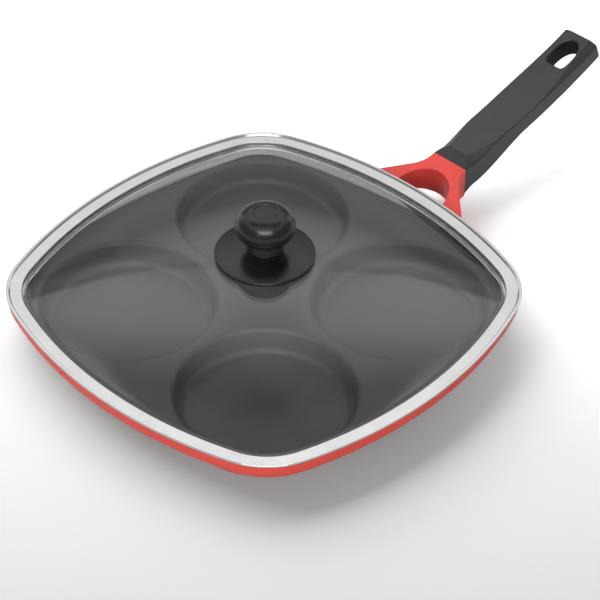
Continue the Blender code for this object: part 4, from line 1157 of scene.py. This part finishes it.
# Painted shade: the same phenolic made near black and dull, for the hang hole's shadowed inner wall.
shader = finish(hole_painted_shade, (0.006, 0.0065, 0.0065), 0.6,
                ((0.004, 0.0045, 0.0045), (0.008, 0.0085, 0.0085), 5, 2), (0.6, 2, 0.01))
tune(shader, Specular_IOR_Level=0.15)
finish(zinc, (0.55, 0.55, 0.54), 0.32, ((0.46, 0.46, 0.45), (0.60, 0.60, 0.59), 2, 4),
       (0.4, 2, 0.006), (0.26, 0.42, 0.8, 3), metallic=1.0)
finish(brass, (0.66, 0.45, 0.16), 0.3, ((0.56, 0.37, 0.13), (0.70, 0.49, 0.19), 2, 4),
       (0.5, 2, 0.006), metallic=1.0)

for part, kind in ((lid_strip, strip_steel), (lid_dome, clear_glass), (bead, silicone),
                   (knob_bulb, knob_black), (knob_plate, knob_black)):
    part.data.materials.append(kind)
for node, part in small.items():
    part.data.materials.clear()
    part.data.materials.append(silicone if "gasket" in node else brass if "insert" in node else zinc)

# %% [markdown]
# ## Tie the pieces to the frame
#
# Each new piece rides on a body and hides the solid that it stands for. The lid's pieces ride on the
# lid, so that the whole lid lifts off as one.

# %% Ride and replace
pieces = [
    (pan_shell, "pan", "pan_body", "pan_metal"),
    (yoke_shell, "pan", "handle_yoke", "yoke_metal"),
    (grip_shell, "pan", "handle_grip", "grip_plastic"),
    (lid_strip, "lid", "lid_rim", "rim_steel"),
    (lid_dome, "lid", "lid_glass", "lid_glass"),
    (bead, "lid", "glass_seal", "silicone"),
    (knob_bulb, "lid", "knob", "knob_plastic"),
    (knob_plate, "lid", "knob_disc", "knob_plastic"),
]
for node, part in small.items():
    body = next(name for name, nodes in frame["record"]["behaviour"]["bodies"].items() if node in nodes)
    slot = "silicone" if "gasket" in node else "brass" if "insert" in node else "fastener_steel"
    pieces.append((part, body, node, slot))
for part, body, node, slot in pieces:
    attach(part, body)
    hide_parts(node)
print(len(pieces), "pieces tied")

# %% [markdown]
# ## Floor, light and colour
#
# The photograph is a product shot on white. A pale floor takes the soft shadow; the camera sees it paler
# towards the back, where the picture fades to white. That paleness is painted light: to camera rays the
# floor grows brighter than white towards the back, which also pales the handle's shadow. A large lamp
# behind the pan throws the soft shadow forwards, and a dim one in front keeps the red wall readable. A
# narrow one in front only draws highlights on the knob and the rolled edges. A soft spot lightens the
# handle and the shadow under it.

# %% Lay the floor
# Painted light on the floor: the brightness that the camera sees, from near to far, up to beyond white.
PAINTED_FLOOR_LIGHT_NEAR = 0.97
PAINTED_FLOOR_LIGHT_FAR = 1.7
flat_back = Vector((back.x, back.y, 0)).normalized()

fresh()
bpy.ops.mesh.primitive_plane_add(size=12, location=(0, 0, -0.2 * MM))
floor = bpy.context.object
floor.name = "floor"
paper = bpy.data.materials.new("floor_paper")
shader = shader_of(paper, (0.86, 0.86, 0.86), 1.0)
tune(shader, Specular_IOR_Level=0.0)


def turned_to(direction, axis):
    """How far a direction or a place lies along an axis."""
    share = add(direction.id_data, "VectorMath", operation="DOT_PRODUCT")
    share.inputs[1].default_value = axis
    link(direction, share.inputs[0])
    return share.outputs["Value"]


# Painted light: camera rays see the floor grow brighter towards the back; other rays see the plain
# paper.
depth = turned_to(add(shader.id_data, "TexCoord").outputs["Object"], -flat_back)
painted_floor_light = add(shader.id_data, "BsdfDiffuse")
link(between(depth, PAINTED_FLOOR_LIGHT_NEAR, PAINTED_FLOOR_LIGHT_FAR, -0.30, 0.12), painted_floor_light.inputs["Color"])
for_rays("Is Camera Ray", shader, painted_floor_light)
floor.data.materials.append(paper)

# %% Hang the lamps
def lamp(name, kind, where, aim, power):
    """A lamp that looks at a point and that glossy surfaces don't mirror."""
    fresh()
    bpy.ops.object.light_add(type=kind, location=where)
    made = bpy.context.object
    made.name = name
    made.rotation_euler = (Vector(aim) - Vector(where)).to_track_quat("-Z", "Y").to_euler()
    made.data.energy = power
    made.visible_glossy = made.visible_transmission = False
    print(name, power, "W")
    return made


def soft_lamp(name, where, width, depth, power):
    """A rectangular soft lamp."""
    made = lamp(name, "AREA", where, look_at, power)
    made.data.shape = "RECTANGLE"
    made.data.size = width
    made.data.size_y = depth
    return made


skyward = Vector((0, 0, 1))
flat_right = skyward.cross(flat_back)
soft_lamp("back_softbox", CENTRE - flat_back * 1.2 - flat_right * 0.85 + skyward * 1.45, 3.2, 2.1, 47)
soft_lamp("front_fill", CENTRE + flat_back * 1.5 + skyward * 0.55, 1.6, 0.6, 12)
streak = soft_lamp("streak", CENTRE + flat_back * 1.1 + skyward * 1.15, 1.2, 0.5, 12)
streak.visible_glossy = True
streak.visible_diffuse = False
under_handle = CENTRE + flat_right * 0.15 - flat_back * 0.12
handle_spot = lamp("handle_spot", "SPOT",
                   under_handle + skyward * 0.5 + flat_back * 0.3 + flat_right * 0.25, under_handle, 7)
handle_spot.data.spot_size = math.radians(25)
handle_spot.data.spot_blend = 1
handle_spot.data.shadow_soft_size = 0.12

# %% [markdown]
# The world does two things. To diffuse rays it is one dim grey. To glossy and transmitted rays it
# shows the studio: a dim room, side walls that are pale behind the pan and near the ceiling, a
# pale back wall and two ceiling panels. The far panel's near edge draws the straight line that
# crosses the glass over the left and the right cup. The other hangs nearer the camera.

# %% Light the world
AMBIENT = 0.13
DIM_ROOM = 0.25
SIDE_WALLS = 1.0
NEAR_PANEL = 1.1
BACK_WALL = 0.85
PANEL = 1.1
PANEL_EDGE = math.radians(42)  # above the horizon, behind the pan
world = bpy.data.worlds.new("studio")
bpy.context.scene.world = world
world.use_nodes = True
tree = world.node_tree
direction = add(tree, "TexCoord").outputs["Generated"]


def toward(axis, start, stop, low, high):
    """A value that goes from low to high as a direction turns towards an axis."""
    return between(turned_to(direction, axis), low, high, start, stop)


def both(operation, first, second):
    """Two values joined by a Math node. The second may be a plain number."""
    made = add(tree, "Math", operation=operation)
    link(first, made.inputs[0])
    if isinstance(second, float):
        made.inputs[1].default_value = second
    else:
        link(second, made.inputs[1])
    return made.outputs["Value"]


edge_axis = skyward * math.cos(PANEL_EDGE) + flat_back * math.sin(PANEL_EDGE)
sides = both("MAXIMUM", toward(flat_right, 0.54, 0.62, 0, 1), toward(-flat_right, 0.54, 0.62, 0, 1))
behind = both("MULTIPLY", toward(-flat_back, 0.45, 0.6, 0, SIDE_WALLS), toward(skyward, 0.4, 0.6, 1, 0))
walls = both("MULTIPLY", sides, both("MAXIMUM", behind, toward(skyward, 0.58, 0.68, 0, SIDE_WALLS)))
studio = both("MAXIMUM", walls, DIM_ROOM)
for across, upwards in (
    ((flat_back, 0.1, 0.2, 0, NEAR_PANEL), (skyward, 0.7, 0.8, 0, 1)),
    ((-flat_back, 0.5, 0.75, 0, BACK_WALL), (skyward, 0.3, 0.6, 0, 1)),
    ((-flat_back, 0.15, 0.5, 0, PANEL), (edge_axis, -0.006, 0.006, 0, 1)),
):
    studio = both("MAXIMUM", studio, both("MULTIPLY", toward(*across), toward(*upwards)))
rays = add(tree, "LightPath").outputs
level = add(tree, "Mix")
level.inputs[2].default_value = AMBIENT
link(both("MAXIMUM", rays["Is Glossy Ray"], rays["Is Transmission Ray"]), level.inputs[0])
link(studio, level.inputs[3])
sky = tune(tree.nodes["Background"], Color=(1, 1, 1, 1))
link(level.outputs[0], sky.inputs["Strength"])
bpy.context.scene.view_settings.view_transform = "Standard"
print("the room's grey is", DIM_ROOM, "and the far panel's is", PANEL)

# %% [markdown]
# ## The end
#
# The dressed pan has to fill the same box as the solids. The last line leaves nothing selected.

# %% Finish
fresh()
